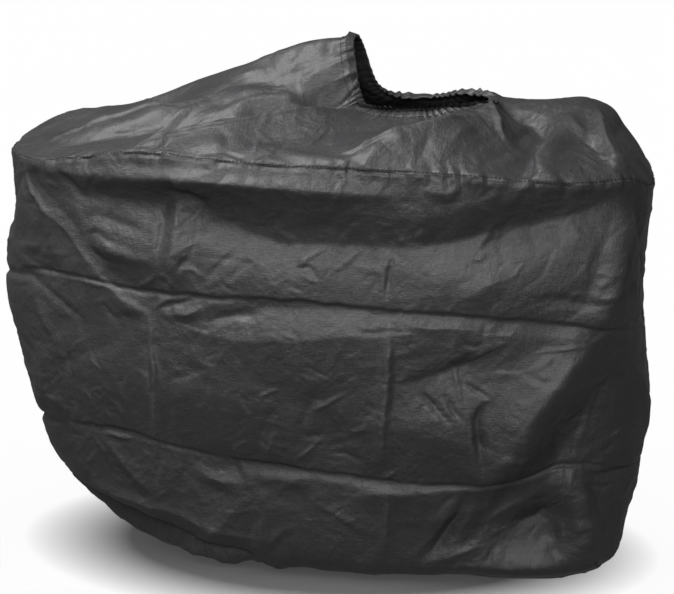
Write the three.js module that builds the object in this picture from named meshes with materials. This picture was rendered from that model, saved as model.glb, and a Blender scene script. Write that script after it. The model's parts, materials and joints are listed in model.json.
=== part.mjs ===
// A slip-on cover for a folded bicycle: a limp sack of thin coated nylon, open below and closed in by its hem.
// Two long side panels and two narrow end panels make the wall, and a top panel is seamed to them all round.
// The bicycle's saddle comes up through an opening in the top panel, whose gathered hem is dragged up into a
// hood by the back of the saddle. The bicycle itself isn't modelled.
//
// Millimetres, +Z up, +X along the cover's length towards the saddle's nose, +Y towards the back panel.
// Heights in the tables are above the floor, and the whole cover is then set down by CARRY_HEIGHT, so that the
// origin is the point under the hood where the bicycle carries the cloth.
//
// The cloth is a ring of columns that runs once round the cover, counter-clockwise from above: front panel from
// left to right, right end, back panel, left end. Rows go up the wall from the hem to the top seam, and then over
// the top panel from that seam to the saddle's opening.
import * as THREE from "three";

// ---- driving dimensions ----
const CLOTH = 1.6; // thickness of the sheet
const SEAM_GAP = 0.3; // between two panels that meet in a seam
const CARRY_HEIGHT = 564; // the origin above the floor
const PLAN_CENTRE_X = -20; // middle of the wall's plan
const GATHER_DEPTH = 1.0; // of the puckers that the elastic draws in the opening's hem
const GATHER_COLUMNS = 4; // columns from one pucker to the next

// Columns of cloth in each panel, and the plan angle of the corner seam where each panel starts, in degrees.
const PANELS = [
  { name: "front_panel", columns: 34, startAngle: 217 },
  { name: "right_end_panel", columns: 9, startAngle: 338 },
  { name: "back_panel", columns: 20, startAngle: 385 },
  { name: "left_end_panel", columns: 9, startAngle: 505 },
];
const FULL_TURN = 360;

// Sections of the wall from the hem's rim up to the top seam. left, right, front and back are how far the section
// reaches from the origin's axis; the round numbers set how square its left and right corners are, with 2 for an
// ellipse; rows is how many rows of cloth lie between this section and the next one up.
const WALL_LEVELS = [
  { level: "hem rim", height: 15, left: -140, right: 228, front: -70, back: 66, roundLeft: 2.0, roundRight: 2.2, rows: 1 },
  { level: "hem lip", height: 3, left: -164, right: 260, front: -94, back: 88, roundLeft: 2.0, roundRight: 2.3, rows: 1 },
  { level: "sole", height: 0, left: -204, right: 290, front: -122, back: 106, roundLeft: 2.0, roundRight: 2.5, rows: 1 },
  { level: "turn", height: 16, left: -248, right: 318, front: -137, back: 122, roundLeft: 2.1, roundRight: 2.7, rows: 2 },
  { level: "low", height: 62, left: -304, right: 335, front: -145, back: 138, roundLeft: 2.2, roundRight: 2.9, rows: 3 },
  { level: "lower fold", height: 122, left: -343, right: 344, front: -151, back: 148, roundLeft: 2.3, roundRight: 3.0, rows: 4 },
  { level: "belly", height: 208, left: -365, right: 345, front: -162, back: 158, roundLeft: 2.4, roundRight: 3.1, rows: 4 },
  { level: "upper fold", height: 290, left: -384, right: 341, front: -160, back: 156, roundLeft: 2.4, roundRight: 3.2, rows: 3 },
  { level: "chest", height: 352, left: -375, right: 342, front: -160, back: 152, roundLeft: 2.4, roundRight: 3.4, rows: 3 },
  { level: "neck", height: 408, left: -370, right: 346, front: -154, back: 146, roundLeft: 2.5, roundRight: 3.6, rows: 2 },
  { level: "top seam", height: 446, left: -370, right: 346, front: -150, back: 140, roundLeft: 2.6, roundRight: 3.6, rows: 0 },
];
const SEAM_FREE_FROM = "upper fold"; // the wall above this section follows the rise and fall of the top seam

// How far the top seam lies above or below its section's height, at plan angles in degrees.
const SEAM_RISE = [
  { at: 217, rise: -6 },
  { at: 250, rise: 11 },
  { at: 270, rise: 3 },
  { at: 310, rise: -9 },
  { at: 338, rise: -9 },
  { at: 362, rise: -26 },
  { at: 390, rise: -6 },
  { at: 450, rise: 6 },
  { at: 505, rise: 8 },
  { at: 535, rise: -2 },
  { at: 560, rise: -4 },
  { at: 577, rise: -6 },
];

// Folds of the walls, in an elevation of each: along is x for the long sides and y for the ends. Rows of one fold
// follow each other, and the fold runs straight from row to row. out is how far it stands out of the section
// there, a trough being negative, and width is how far to each side it fades.
const FRONT_FOLDS = [
  { fold: "roll below the seam", along: -252, height: 432, out: 4, width: 16 },
  { fold: "roll below the seam", along: -110, height: 434, out: 8, width: 17 },
  { fold: "roll below the seam", along: 24, height: 426, out: 6, width: 15 },
  { fold: "roll below the seam", along: 78, height: 422, out: 0, width: 12 },
  { fold: "sag", along: -264, height: 410, out: -5, width: 17 },
  { fold: "sag", along: -143, height: 398, out: -13, width: 24 },
  { fold: "sag", along: -40, height: 380, out: -21, width: 32 },
  { fold: "sag", along: 60, height: 371, out: -26, width: 36 },
  { fold: "sag", along: 150, height: 376, out: -24, width: 34 },
  { fold: "sag", along: 240, height: 400, out: -15, width: 26 },
  { fold: "sag", along: 316, height: 424, out: -5, width: 16 },
  { fold: "chest swell", along: -190, height: 342, out: 4, width: 38 },
  { fold: "chest swell", along: 0, height: 326, out: 8, width: 40 },
  { fold: "chest swell", along: 230, height: 332, out: 5, width: 38 },
  { fold: "upper packing fold", along: -340, height: 306, out: -3, width: 12 },
  { fold: "upper packing fold", along: -116, height: 301, out: -7, width: 13 },
  { fold: "upper packing fold", along: 312, height: 294, out: -5, width: 12 },
  { fold: "hip swell", along: -190, height: 214, out: 2, width: 46 },
  { fold: "hip swell", along: 130, height: 210, out: 5, width: 48 },
  { fold: "middle hollow", along: -100, height: 250, out: -4, width: 46 },
  { fold: "middle hollow", along: 34, height: 176, out: -7, width: 44 },
  { fold: "lower packing fold", along: -276, height: 140, out: -3, width: 14 },
  { fold: "lower packing fold", along: -111, height: 122, out: -8, width: 15 },
  { fold: "lower packing fold", along: 68, height: 112, out: -8, width: 15 },
  { fold: "lower packing fold", along: 196, height: 120, out: -6, width: 14 },
  { fold: "lower packing fold", along: 296, height: 128, out: -5, width: 13 },
  { fold: "left upright crease", along: -160, height: 390, out: -6, width: 14 },
  { fold: "left upright crease", along: -168, height: 306, out: -5, width: 14 },
  { fold: "left upright crease", along: -156, height: 130, out: -4, width: 14 },
  { fold: "right upright crease", along: 102, height: 330, out: -3, width: 13 },
  { fold: "right upright crease", along: 86, height: 236, out: -7, width: 15 },
  { fold: "right upright crease", along: 76, height: 112, out: -5, width: 14 },
  { fold: "left drag", along: -338, height: 418, out: -5, width: 14 },
  { fold: "left drag", along: -241, height: 339, out: -12, width: 18 },
  { fold: "left drag", along: -183, height: 312, out: -6, width: 14 },
  { fold: "left drag's ridge", along: -298, height: 418, out: 6, width: 18 },
  { fold: "left drag's ridge", along: -214, height: 352, out: 7, width: 20 },
  { fold: "right corner ridge", along: 326, height: 410, out: 3, width: 20 },
  { fold: "right corner ridge", along: 305, height: 300, out: 10, width: 26 },
  { fold: "right drag ridge", along: 300, height: 282, out: 10, width: 26 },
  { fold: "right drag ridge", along: 232, height: 181, out: 15, width: 30 },
  { fold: "right drag ridge", along: 198, height: 122, out: 8, width: 24 },
  { fold: "right hollow", along: 318, height: 226, out: -10, width: 30 },
  { fold: "right hollow", along: 262, height: 142, out: -12, width: 26 },
  { fold: "foot ridge", along: 276, height: 124, out: 5, width: 16 },
  { fold: "foot ridge", along: 290, height: 40, out: 9, width: 20 },
  { fold: "foot hollow", along: 214, height: 106, out: -10, width: 22 },
  { fold: "foot hollow", along: 172, height: 44, out: -8, width: 22 },
  { fold: "tuck ridge", along: -272, height: 76, out: 8, width: 20 },
  { fold: "tuck ridge", along: -140, height: 32, out: 9, width: 18 },
  { fold: "tuck ridge", along: -40, height: 12, out: 4, width: 14 },
];
const BACK_FOLDS = [
  { fold: "sag", along: 236, height: 408, out: -6, width: 22 },
  { fold: "sag", along: 60, height: 376, out: -20, width: 36 },
  { fold: "sag", along: -200, height: 404, out: -8, width: 24 },
  { fold: "upper packing fold", along: 300, height: 296, out: -5, width: 13 },
  { fold: "upper packing fold", along: -330, height: 304, out: -5, width: 13 },
  { fold: "hip swell", along: 190, height: 222, out: 5, width: 46 },
  { fold: "hip swell", along: -200, height: 226, out: 3, width: 46 },
  { fold: "lower packing fold", along: 290, height: 122, out: -6, width: 14 },
  { fold: "lower packing fold", along: -280, height: 130, out: -6, width: 14 },
  { fold: "upright crease", along: 70, height: 350, out: -5, width: 14 },
  { fold: "upright crease", along: 82, height: 110, out: -6, width: 14 },
  { fold: "right drag", along: 290, height: 280, out: 6, width: 24 },
  { fold: "right drag", along: 196, height: 140, out: 10, width: 26 },
  { fold: "left drag", along: -330, height: 404, out: -8, width: 18 },
  { fold: "left drag", along: -210, height: 316, out: -6, width: 18 },
  { fold: "foot drag, left", along: -180, height: 108, out: -5, width: 20 },
  { fold: "foot drag, left", along: -120, height: 36, out: -8, width: 22 },
  { fold: "foot drag, right", along: 120, height: 106, out: -5, width: 20 },
  { fold: "foot drag, right", along: 170, height: 34, out: -8, width: 22 },
];
const RIGHT_END_FOLDS = [
  { fold: "corner drag", along: -84, height: 420, out: -5, width: 16 },
  { fold: "corner drag", along: -20, height: 350, out: -7, width: 20 },
  { fold: "upper packing fold", along: -110, height: 292, out: -4, width: 13 },
  { fold: "upper packing fold", along: 110, height: 276, out: -5, width: 13 },
  { fold: "hip swell", along: -40, height: 186, out: 4, width: 40 },
  { fold: "hip swell", along: 40, height: 186, out: 4, width: 40 },
  { fold: "lower packing fold", along: -110, height: 126, out: -4, width: 14 },
  { fold: "lower packing fold", along: 110, height: 122, out: -5, width: 14 },
];
const LEFT_END_FOLDS = [
  { fold: "corner drag", along: -60, height: 430, out: -4, width: 14 },
  { fold: "corner drag", along: -30, height: 360, out: -6, width: 18 },
  { fold: "upper packing fold", along: 110, height: 304, out: -5, width: 13 },
  { fold: "upper packing fold", along: -110, height: 306, out: -4, width: 13 },
  { fold: "upright pleat", along: 36, height: 400, out: -6, width: 18 },
  { fold: "upright pleat", along: 12, height: 170, out: -8, width: 22 },
  { fold: "lower packing fold", along: 110, height: 134, out: -5, width: 14 },
  { fold: "lower packing fold", along: -110, height: 140, out: -4, width: 14 },
];
const FOLD_SHARPNESS = 1.4; // 2 gives every fold a round crest, and 1 a sharp one

// The folds of a long side fade out towards the middle of an end, and those of an end along the long sides.
const SIDE_FADE = { from: 8, to: 60 };
const END_FADE = { from: 232, to: 330 };

// The opening for the saddle, and the height of its rim round it: at 0 the end towards +X, at 90 the back.
const OPENING = { centreX: 94, halfLength: 74, halfWidth: 43, roundLeft: 3.0, roundRight: 1.9 };
const RIM_HEIGHTS = [
  { at: 0, height: 502 },
  { at: 50, height: 508 },
  { at: 100, height: 500 },
  { at: 132, height: 516 },
  { at: 158, height: 560 },
  { at: 180, height: 571 },
  { at: 200, height: 556 },
  { at: 226, height: 505 },
  { at: 250, height: 497 },
  { at: 290, height: 500 },
  { at: 330, height: 499 },
  { at: 360, height: 502 },
];
const TOP_ROWS = 12; // rows of cloth from the top seam to the opening
const TOP_ROW_CROWDING = 1.3; // over 1, the rows are closer near the seam

// Ridges and troughs of the top panel, as plan lines that the taut cloth hangs between. Rows of one fold follow
// each other, and the fold runs straight from row to row.
const TOP_FOLDS = [
  { fold: "hood crest", x: 14, y: 0, height: 570 },
  { fold: "hood crest", x: -34, y: 2, height: 568 },
  { fold: "hood crest", x: -90, y: 4, height: 545 },
  { fold: "hood crest", x: -160, y: 12, height: 520 },
  { fold: "hood crest", x: -240, y: 36, height: 486 },
  { fold: "hood crest", x: -322, y: 45, height: 479 },
  { fold: "hood crest", x: -350, y: 28, height: 468 },
  { fold: "hood crest", x: -363, y: 12, height: 457 },
  { fold: "left corner ridge", x: -318, y: -72, height: 450 },
  { fold: "left corner ridge", x: -209, y: -62, height: 482 },
  { fold: "left corner ridge", x: -141, y: -30, height: 510 },
  { fold: "hollow behind it", x: -324, y: -6, height: 456 },
  { fold: "hollow behind it", x: -216, y: -10, height: 472 },
  { fold: "front ridge", x: -232, y: -116, height: 460 },
  { fold: "front ridge", x: -101, y: -98, height: 479 },
  { fold: "front ridge", x: 16, y: -44, height: 498 },
  { fold: "front slope hollow", x: -210, y: -90, height: 463 },
  { fold: "front slope hollow", x: -124, y: -74, height: 479 },
  { fold: "hood front, left", x: -138, y: -36, height: 508 },
  { fold: "hood front, left", x: -105, y: -90, height: 480 },
  { fold: "hood front, middle", x: -83, y: -38, height: 521 },
  { fold: "hood front, middle", x: -28, y: -54, height: 504 },
  { fold: "hood front hollow", x: -64, y: -66, height: 484 },
  { fold: "hood front hollow", x: 2, y: -46, height: 488 },
  { fold: "front shelf", x: -110, y: -122, height: 471 },
  { fold: "front shelf", x: -40, y: -128, height: 468 },
  { fold: "front shelf", x: 34, y: -142, height: 459 },
  { fold: "saddle ridge", x: 47, y: -141, height: 459 },
  { fold: "saddle ridge", x: 89, y: -122, height: 480 },
  { fold: "saddle ridge", x: 132, y: -90, height: 493 },
  { fold: "saddle ridge", x: 166, y: -28, height: 504 },
  { fold: "saddle hollow", x: 34, y: -92, height: 477 },
  { fold: "saddle hollow", x: 128, y: -66, height: 491 },
  { fold: "nose ridge", x: 172, y: -24, height: 502 },
  { fold: "nose ridge", x: 206, y: -70, height: 470 },
  { fold: "nose ridge", x: 216, y: -132, height: 440 },
  { fold: "nose trough", x: 184, y: 12, height: 494 },
  { fold: "nose trough", x: 228, y: -26, height: 470 },
  { fold: "nose trough", x: 226, y: -124, height: 438 },
  { fold: "hump edge", x: 248, y: -34, height: 482 },
  { fold: "hump edge", x: 240, y: -96, height: 462 },
  { fold: "hump edge", x: 246, y: -134, height: 444 },
  { fold: "hump crest", x: 248, y: -34, height: 482 },
  { fold: "hump crest", x: 274, y: 40, height: 508 },
  { fold: "hump ridge to the corner", x: 274, y: 40, height: 508 },
  { fold: "hump ridge to the corner", x: 318, y: -80, height: 455 },
  { fold: "hump hollow", x: 262, y: -52, height: 470 },
  { fold: "hump hollow", x: 308, y: -92, height: 448 },
  { fold: "back right crest", x: 166, y: 36, height: 510 },
  { fold: "back right crest", x: 222, y: 58, height: 503 },
  { fold: "back right crest", x: 274, y: 40, height: 508 },
  { fold: "right end crest", x: 274, y: 40, height: 508 },
  { fold: "right end crest", x: 297, y: 40, height: 500 },
  { fold: "right end crest", x: 315, y: 36, height: 476 },
  { fold: "right end crest", x: 334, y: 20, height: 443 },
  { fold: "back drag, left", x: -70, y: 14, height: 552 },
  { fold: "back drag, left", x: -120, y: 118, height: 462 },
  { fold: "back drag, middle", x: 70, y: 52, height: 499 },
  { fold: "back drag, middle", x: 20, y: 126, height: 457 },
  { fold: "back drag, right", x: 150, y: 46, height: 506 },
  { fold: "back drag, right", x: 190, y: 124, height: 458 },
  { fold: "back hollow", x: 108, y: 72, height: 477 },
  { fold: "back hollow", x: 112, y: 120, height: 450 },
];

// The top panel is drawn taut between its folds on a grid this many times as fine as the solid's own.
const FINER = 3;
const RELAX_PASSES = 420;
const OVER_RELAX = 1.85;
const LINE_REACH = 0.72; // grid steps from a fold's line within which the cloth lies on it

// ---- helpers ----
const radians = THREE.MathUtils.degToRad;
const mix = THREE.MathUtils.lerp;

// The value of a column of a table at a place between its rows, on a smooth curve through them.
function alongTable(table, column, place) {
  const last = table.length - 1;
  const i = Math.min(Math.floor(place), last - 1);
  const t = place - i;
  const row = (k) => table[Math.min(Math.max(k, 0), last)][column];
  const [before, from, to, after] = [row(i - 1), row(i), row(i + 1), row(i + 2)];
  const startSlope = (to - before) / 2;
  const endSlope = (after - from) / 2;
  const u = 1 - t;
  return (
    from * (1 + 2 * t) * u * u +
    startSlope * t * u * u +
    to * (3 - 2 * t) * t * t -
    endSlope * t * t * u
  );
}

// The same for a table whose rows stand at angles, in its "at" column.
function roundTable(table, column, angle) {
  let i = 0;
  while (i < table.length - 2 && angle > table[i + 1].at) i += 1;
  const t = (angle - table[i].at) / (table[i + 1].at - table[i].at);
  return alongTable(table, column, i + Math.min(Math.max(t, 0), 1));
}

// A point of a squarish oval at an angle. Its left and right halves may be round to a different degree.
function ovalPoint(angle, centreX, left, right, front, back, roundLeft, roundRight) {
  const c = Math.cos(radians(angle));
  const s = Math.sin(radians(angle));
  const power = 2 / (c < 0 ? roundLeft : roundRight);
  const reachX = c < 0 ? centreX - left : right - centreX;
  const reachY = s < 0 ? -front : back;
  return [
    centreX + Math.sign(c) * reachX * Math.abs(c) ** power,
    Math.sign(s) * reachY * Math.abs(s) ** power,
  ];
}

// ---- the wall ----
// The angles of one panel's columns, evenly spaced along the cloth at one section of the wall.
function evenAngles(section, start, end, columns) {
  const steps = 240;
  const lengths = [0];
  const angleAt = (k) => mix(start, end, k / steps);
  let previous = sectionPoint(section, angleAt(0));
  for (let k = 1; k <= steps; k += 1) {
    const point = sectionPoint(section, angleAt(k));
    lengths.push(lengths[k - 1] + Math.hypot(point[0] - previous[0], point[1] - previous[1]));
    previous = point;
  }
  const angles = [];
  let k = 0;
  for (let column = 0; column < columns; column += 1) {
    const wanted = (lengths[steps] * column) / columns;
    while (lengths[k + 1] < wanted) k += 1;
    const share = (wanted - lengths[k]) / (lengths[k + 1] - lengths[k]);
    angles.push(mix(start, end, (k + share) / steps));
  }
  return angles;
}

function sectionPoint(s, angle) {
  return ovalPoint(angle, PLAN_CENTRE_X, s.left, s.right, s.front, s.back, s.roundLeft, s.roundRight);
}

// All the angles of one section, once round.
function ringAngles(section, finer) {
  return PANELS.flatMap((panel, i) => {
    const end = i + 1 < PANELS.length ? PANELS[i + 1].startAngle : PANELS[0].startAngle + FULL_TURN;
    return evenAngles(section, panel.startAngle, end, panel.columns * finer);
  });
}

// The places of the rows between the sections, as numbers of sections from the hem's rim.
function rowPlaces(finer) {
  const places = [0];
  WALL_LEVELS.forEach((level, i) => {
    const rows = level.rows * finer;
    for (let k = 1; k <= rows; k += 1) places.push(i + k / rows);
  });
  return places;
}

function wallSurface(finer) {
  const freeFrom = WALL_LEVELS.findIndex((l) => l.level === SEAM_FREE_FROM);
  const top = WALL_LEVELS.length - 1;
  return rowPlaces(finer).map((place) => {
    const section = {};
    for (const column of ["height", "left", "right", "front", "back", "roundLeft", "roundRight"]) {
      section[column] = alongTable(WALL_LEVELS, column, place);
    }
    const free = Math.max(0, (place - freeFrom) / (top - freeFrom));
    return ringAngles(section, finer).map((angle) => {
      const [x, y] = sectionPoint(section, angle);
      const rise = roundTable(SEAM_RISE, "rise", angle);
      return new THREE.Vector3(x, y, section.height + rise * free * free);
    });
  });
}

// ---- folds ----
// A fold table as stretches: the two ends of each in the table's plane, and the values at both.
function stretches(table, acrossName, alongName) {
  return table.slice(1).flatMap((to, i) => {
    const from = table[i];
    if (from.fold !== to.fold) return [];
    return [{ fold: to.fold, from, to, u: from[acrossName], v: from[alongName],
      du: to[acrossName] - from[acrossName], dv: to[alongName] - from[alongName] }];
  });
}

// Where a point of the plane lies on a stretch: the share of its length, and how far off it the point is.
function placeOnStretch(u, v, s) {
  const share = ((u - s.u) * s.du + (v - s.v) * s.dv) / (s.du * s.du + s.dv * s.dv);
  const t = Math.min(Math.max(share, 0), 1);
  return { t, away: Math.hypot(u - s.u - t * s.du, v - s.v - t * s.dv) };
}

// How far the folds of one wall stand out at a point of its elevation. The stretches of one fold don't add up.
function foldHeight(wall, u, v) {
  const strongest = new Map();
  for (const s of wall) {
    const { t, away } = placeOnStretch(u, v, s);
    const fade = (away / mix(s.from.width, s.to.width, t)) ** FOLD_SHARPNESS;
    const out = mix(s.from.out, s.to.out, t) * Math.exp(-fade);
    if (Math.abs(out) > Math.abs(strongest.get(s.fold) ?? 0)) strongest.set(s.fold, out);
  }
  return [...strongest.values()].reduce((sum, out) => sum + out, 0);
}

const frontFolds = stretches(FRONT_FOLDS, "along", "height");
const backFolds = stretches(BACK_FOLDS, "along", "height");
const rightEndFolds = stretches(RIGHT_END_FOLDS, "along", "height");
const leftEndFolds = stretches(LEFT_END_FOLDS, "along", "height");
const topFolds = stretches(TOP_FOLDS, "x", "y");

function wallStand(p) {
  const sideShare = THREE.MathUtils.smoothstep(Math.abs(p.y), SIDE_FADE.from, SIDE_FADE.to);
  const endShare = THREE.MathUtils.smoothstep(Math.abs(p.x), END_FADE.from, END_FADE.to);
  const side = sideShare * foldHeight(p.y < 0 ? frontFolds : backFolds, p.x, p.z);
  const end = endShare * foldHeight(p.x < 0 ? leftEndFolds : rightEndFolds, p.y, p.z);
  return side + end;
}

// ---- the top panel ----
function rimPoint(angle) {
  const o = OPENING;
  const [x, y] = ovalPoint(
    angle, o.centreX, o.centreX - o.halfLength, o.centreX + o.halfLength,
    -o.halfWidth, o.halfWidth, o.roundLeft, o.roundRight,
  );
  return new THREE.Vector3(x, y, roundTable(RIM_HEIGHTS, "height", angle));
}

function topSurface(seamRow, finer) {
  const seam = WALL_LEVELS[WALL_LEVELS.length - 1];
  const rows = TOP_ROWS * finer;
  const rim = seamRow.map((p) => {
    const across = p.y / (p.y < 0 ? -seam.front : seam.back);
    const along = (p.x - OPENING.centreX) / seam.right;
    const angle = THREE.MathUtils.radToDeg(Math.atan2(across, along));
    return rimPoint((angle + FULL_TURN) % FULL_TURN);
  });
  return Array.from({ length: rows + 1 }, (_, row) =>
    seamRow.map((p, column) => p.clone().lerp(rim[column], (row / rows) ** TOP_ROW_CROWDING)),
  );
}

// Heights for every point of the top panel's grid: fixed on its seam, its rim and its folds, and taut between.
function tautHeights(grid) {
  const rows = grid.length;
  const columns = grid[0].length;
  const height = grid.map((row) => row.map((p) => p.z));
  const fixed = grid.map((row, r) => row.map(() => r === 0 || r === rows - 1));
  const flatDistance = (p, q) => Math.hypot(q.x - p.x, q.y - p.y);
  for (let r = 1; r < rows - 1; r += 1) {
    for (let c = 0; c < columns; c += 1) {
      const p = grid[r][c];
      const step = Math.max(flatDistance(p, grid[r][(c + 1) % columns]), flatDistance(p, grid[r + 1][c]));
      let nearest = LINE_REACH * step;
      for (const s of topFolds) {
        const { t, away } = placeOnStretch(p.x, p.y, s);
        if (away >= nearest) continue;
        nearest = away;
        height[r][c] = mix(s.from.height, s.to.height, t);
        fixed[r][c] = true;
      }
    }
  }
  for (let pass = 0; pass < RELAX_PASSES; pass += 1) {
    for (let r = 1; r < rows - 1; r += 1) {
      for (let c = 0; c < columns; c += 1) {
        if (fixed[r][c]) continue;
        const left = height[r][(c + columns - 1) % columns];
        const right = height[r][(c + 1) % columns];
        const mean = (left + right + height[r - 1][c] + height[r + 1][c]) / 4;
        height[r][c] += OVER_RELAX * (mean - height[r][c]);
      }
    }
  }
  return height;
}

// The way out of the cloth at every point of a grid.
function outwards(grid) {
  const rows = grid.length;
  const columns = grid[0].length;
  return grid.map((row, r) =>
    row.map((_, c) => {
      const along = grid[r][(c + 1) % columns].clone().sub(grid[r][(c + columns - 1) % columns]);
      const up = grid[Math.min(r + 1, rows - 1)][c].clone().sub(grid[Math.max(r - 1, 0)][c]);
      return along.cross(up).normalize();
    }),
  );
}

// Every nth point of a grid's rows and columns, at the mean height of the fine points round it. The first and
// last rows keep their own heights.
function everyNth(grid, n) {
  const reach = Math.floor(n / 2);
  const columns = grid[0].length;
  const meanHeight = (r, c) => {
    let sum = 0;
    for (let i = -reach; i <= reach; i += 1) {
      for (let k = -reach; k <= reach; k += 1) sum += grid[r + i][(c + k + columns) % columns].z;
    }
    return sum / (2 * reach + 1) ** 2;
  };
  const coarse = [];
  for (let r = 0; r < grid.length; r += n) {
    const inside = r > 0 && r < grid.length - 1;
    const row = grid[r].filter((_, c) => c % n === 0).map((p) => p.clone());
    if (inside) row.forEach((p, i) => p.setZ(meanHeight(r, i * n)));
    coarse.push(row);
  }
  return coarse;
}

function clothSurfaces() {
  const wall = wallSurface(1);
  const out = outwards(wall);
  wall.forEach((row, r) => row.forEach((p, c) => p.addScaledVector(out[r][c], wallStand(p))));

  // The seam's fine row only gives the top panel's grid its places, and its own row gets the wall's own points.
  const seamRow = wallSurface(FINER)[rowPlaces(FINER).length - 1];
  const seamOut = out[wall.length - 1];
  seamRow.forEach((p, c) => p.addScaledVector(seamOut[Math.floor(c / FINER)], wallStand(p)));
  const fine = topSurface(seamRow, FINER);
  const heights = tautHeights(fine);
  fine.forEach((row, r) => row.forEach((p, c) => p.setZ(heights[r][c])));
  const top = everyNth(fine, FINER);
  top[0] = wall[wall.length - 1].map((p) => p.clone());
  return { wall, top };
}

// ---- solids ----
// A closed sheet from its outer points and the way out at each of them. closed says that its columns run round.
function sheetGeometry(outer, out, closed) {
  const rows = outer.length;
  const columns = outer[0].length;
  const inner = outer.map((row, r) =>
    row.map((p, c) => p.clone().addScaledVector(out[r][c], -CLOTH)),
  );
  const positions = [...outer.flat(), ...inner.flat()].flatMap((p) => [p.x, p.y, p.z]);
  const index = [];
  const at = (r, c, layer) => layer * rows * columns + r * columns + (c % columns);
  const quad = (a, b, c, d) => index.push(a, b, c, a, c, d);
  const lastColumn = closed ? columns : columns - 1;
  for (let r = 0; r < rows - 1; r += 1) {
    for (let c = 0; c < lastColumn; c += 1) {
      quad(at(r, c, 0), at(r, c + 1, 0), at(r + 1, c + 1, 0), at(r + 1, c, 0));
      quad(at(r, c, 1), at(r + 1, c, 1), at(r + 1, c + 1, 1), at(r, c + 1, 1));
    }
  }
  for (let c = 0; c < lastColumn; c += 1) {
    quad(at(0, c, 0), at(0, c, 1), at(0, c + 1, 1), at(0, c + 1, 0));
    quad(at(rows - 1, c, 0), at(rows - 1, c + 1, 0), at(rows - 1, c + 1, 1), at(rows - 1, c, 1));
  }
  if (!closed) {
    const end = columns - 1;
    for (let r = 0; r < rows - 1; r += 1) {
      quad(at(r, 0, 0), at(r + 1, 0, 0), at(r + 1, 0, 1), at(r, 0, 1));
      quad(at(r, end, 0), at(r, end, 1), at(r + 1, end, 1), at(r + 1, end, 0));
    }
  }
  const geometry = new THREE.BufferGeometry();
  geometry.setAttribute("position", new THREE.Float32BufferAttribute(positions, 3));
  geometry.setIndex(index);
  geometry.computeVertexNormals();
  return geometry;
}

// The points with their edge rows, and end columns if asked, drawn back by half a seam's gap.
function drawnBack(grid, { first = false, last = false, sides = false }) {
  const moved = grid.map((row) => row.map((p) => p.clone()));
  const rows = grid.length;
  const columns = grid[0].length;
  const pull = (r, c, towardsRow, towardsColumn) => {
    const way = grid[towardsRow][towardsColumn].clone().sub(grid[r][c]).normalize();
    moved[r][c].addScaledVector(way, SEAM_GAP / 2);
  };
  for (let c = 0; c < columns; c += 1) {
    if (first) pull(0, c, 1, c);
    if (last) pull(rows - 1, c, rows - 2, c);
  }
  for (let r = 0; sides && r < rows; r += 1) {
    pull(r, 0, r, 1);
    pull(r, columns - 1, r, columns - 2);
  }
  return moved;
}

const nylon = new THREE.MeshStandardMaterial({ color: 0x3b3b3d, roughness: 0.5, metalness: 0 });

function mesh(name, geometry) {
  const made = new THREE.Mesh(geometry, nylon.clone());
  made.name = name;
  return made;
}

// The four panels of the wall, cut from the ring at the corner seams.
function wallPanels(wall, out) {
  let start = 0;
  return PANELS.map((panel) => {
    const columns = Array.from({ length: panel.columns + 1 }, (_, k) => start + k);
    const cut = (grid) => grid.map((row) => columns.map((c) => row[c % row.length]));
    start += panel.columns;
    const points = drawnBack(cut(wall), { last: true, sides: true });
    return mesh(panel.name, sheetGeometry(points, cut(out), false));
  });
}

// Elastic in the hem of the opening gathers its last rows of cloth into small puckers.
function gatherHem(top, out) {
  const last = top.length - 1;
  top[last].forEach((p, c) => {
    const pucker = GATHER_DEPTH * Math.cos((2 * Math.PI * c) / GATHER_COLUMNS);
    p.addScaledVector(out[last][c], pucker);
  });
}

function bicycleCover() {
  const { wall, top } = clothSurfaces();
  const wallOut = outwards(wall);
  const topOut = outwards(top);
  // Both sheets of the top seam are cut square to the same direction, so their edges face each other.
  wallOut[wall.length - 1].forEach((way, c) => {
    way.add(topOut[0][c]).normalize();
    topOut[0][c].copy(way);
  });
  gatherHem(top, topOut);
  const cover = new THREE.Group();
  cover.position.z = -CARRY_HEIGHT;
  cover.add(...wallPanels(wall, wallOut));
  cover.add(mesh("top_panel", sheetGeometry(drawnBack(top, { first: true }), topOut, true)));
  return cover;
}

const bicycle_cover = bicycleCover();
export default bicycle_cover;
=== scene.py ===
# A slip-on cover of thin coated nylon over a folded bicycle, built as five sheets of cloth that are seamed
# together: two long sides, two ends and a top panel with a gathered opening. The bicycle isn't modelled.
#
# The cloth is a ring of columns that runs once round the cover, counter-clockwise from above, starting at
# the front's left corner. Rows go up the wall from the hem to the top seam, and then over the top panel to
# the opening. Tables are in millimetres, with heights above the wall's lowest section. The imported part's
# origin lies CARRY_HEIGHT above that.
import functools
import json
import math

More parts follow.
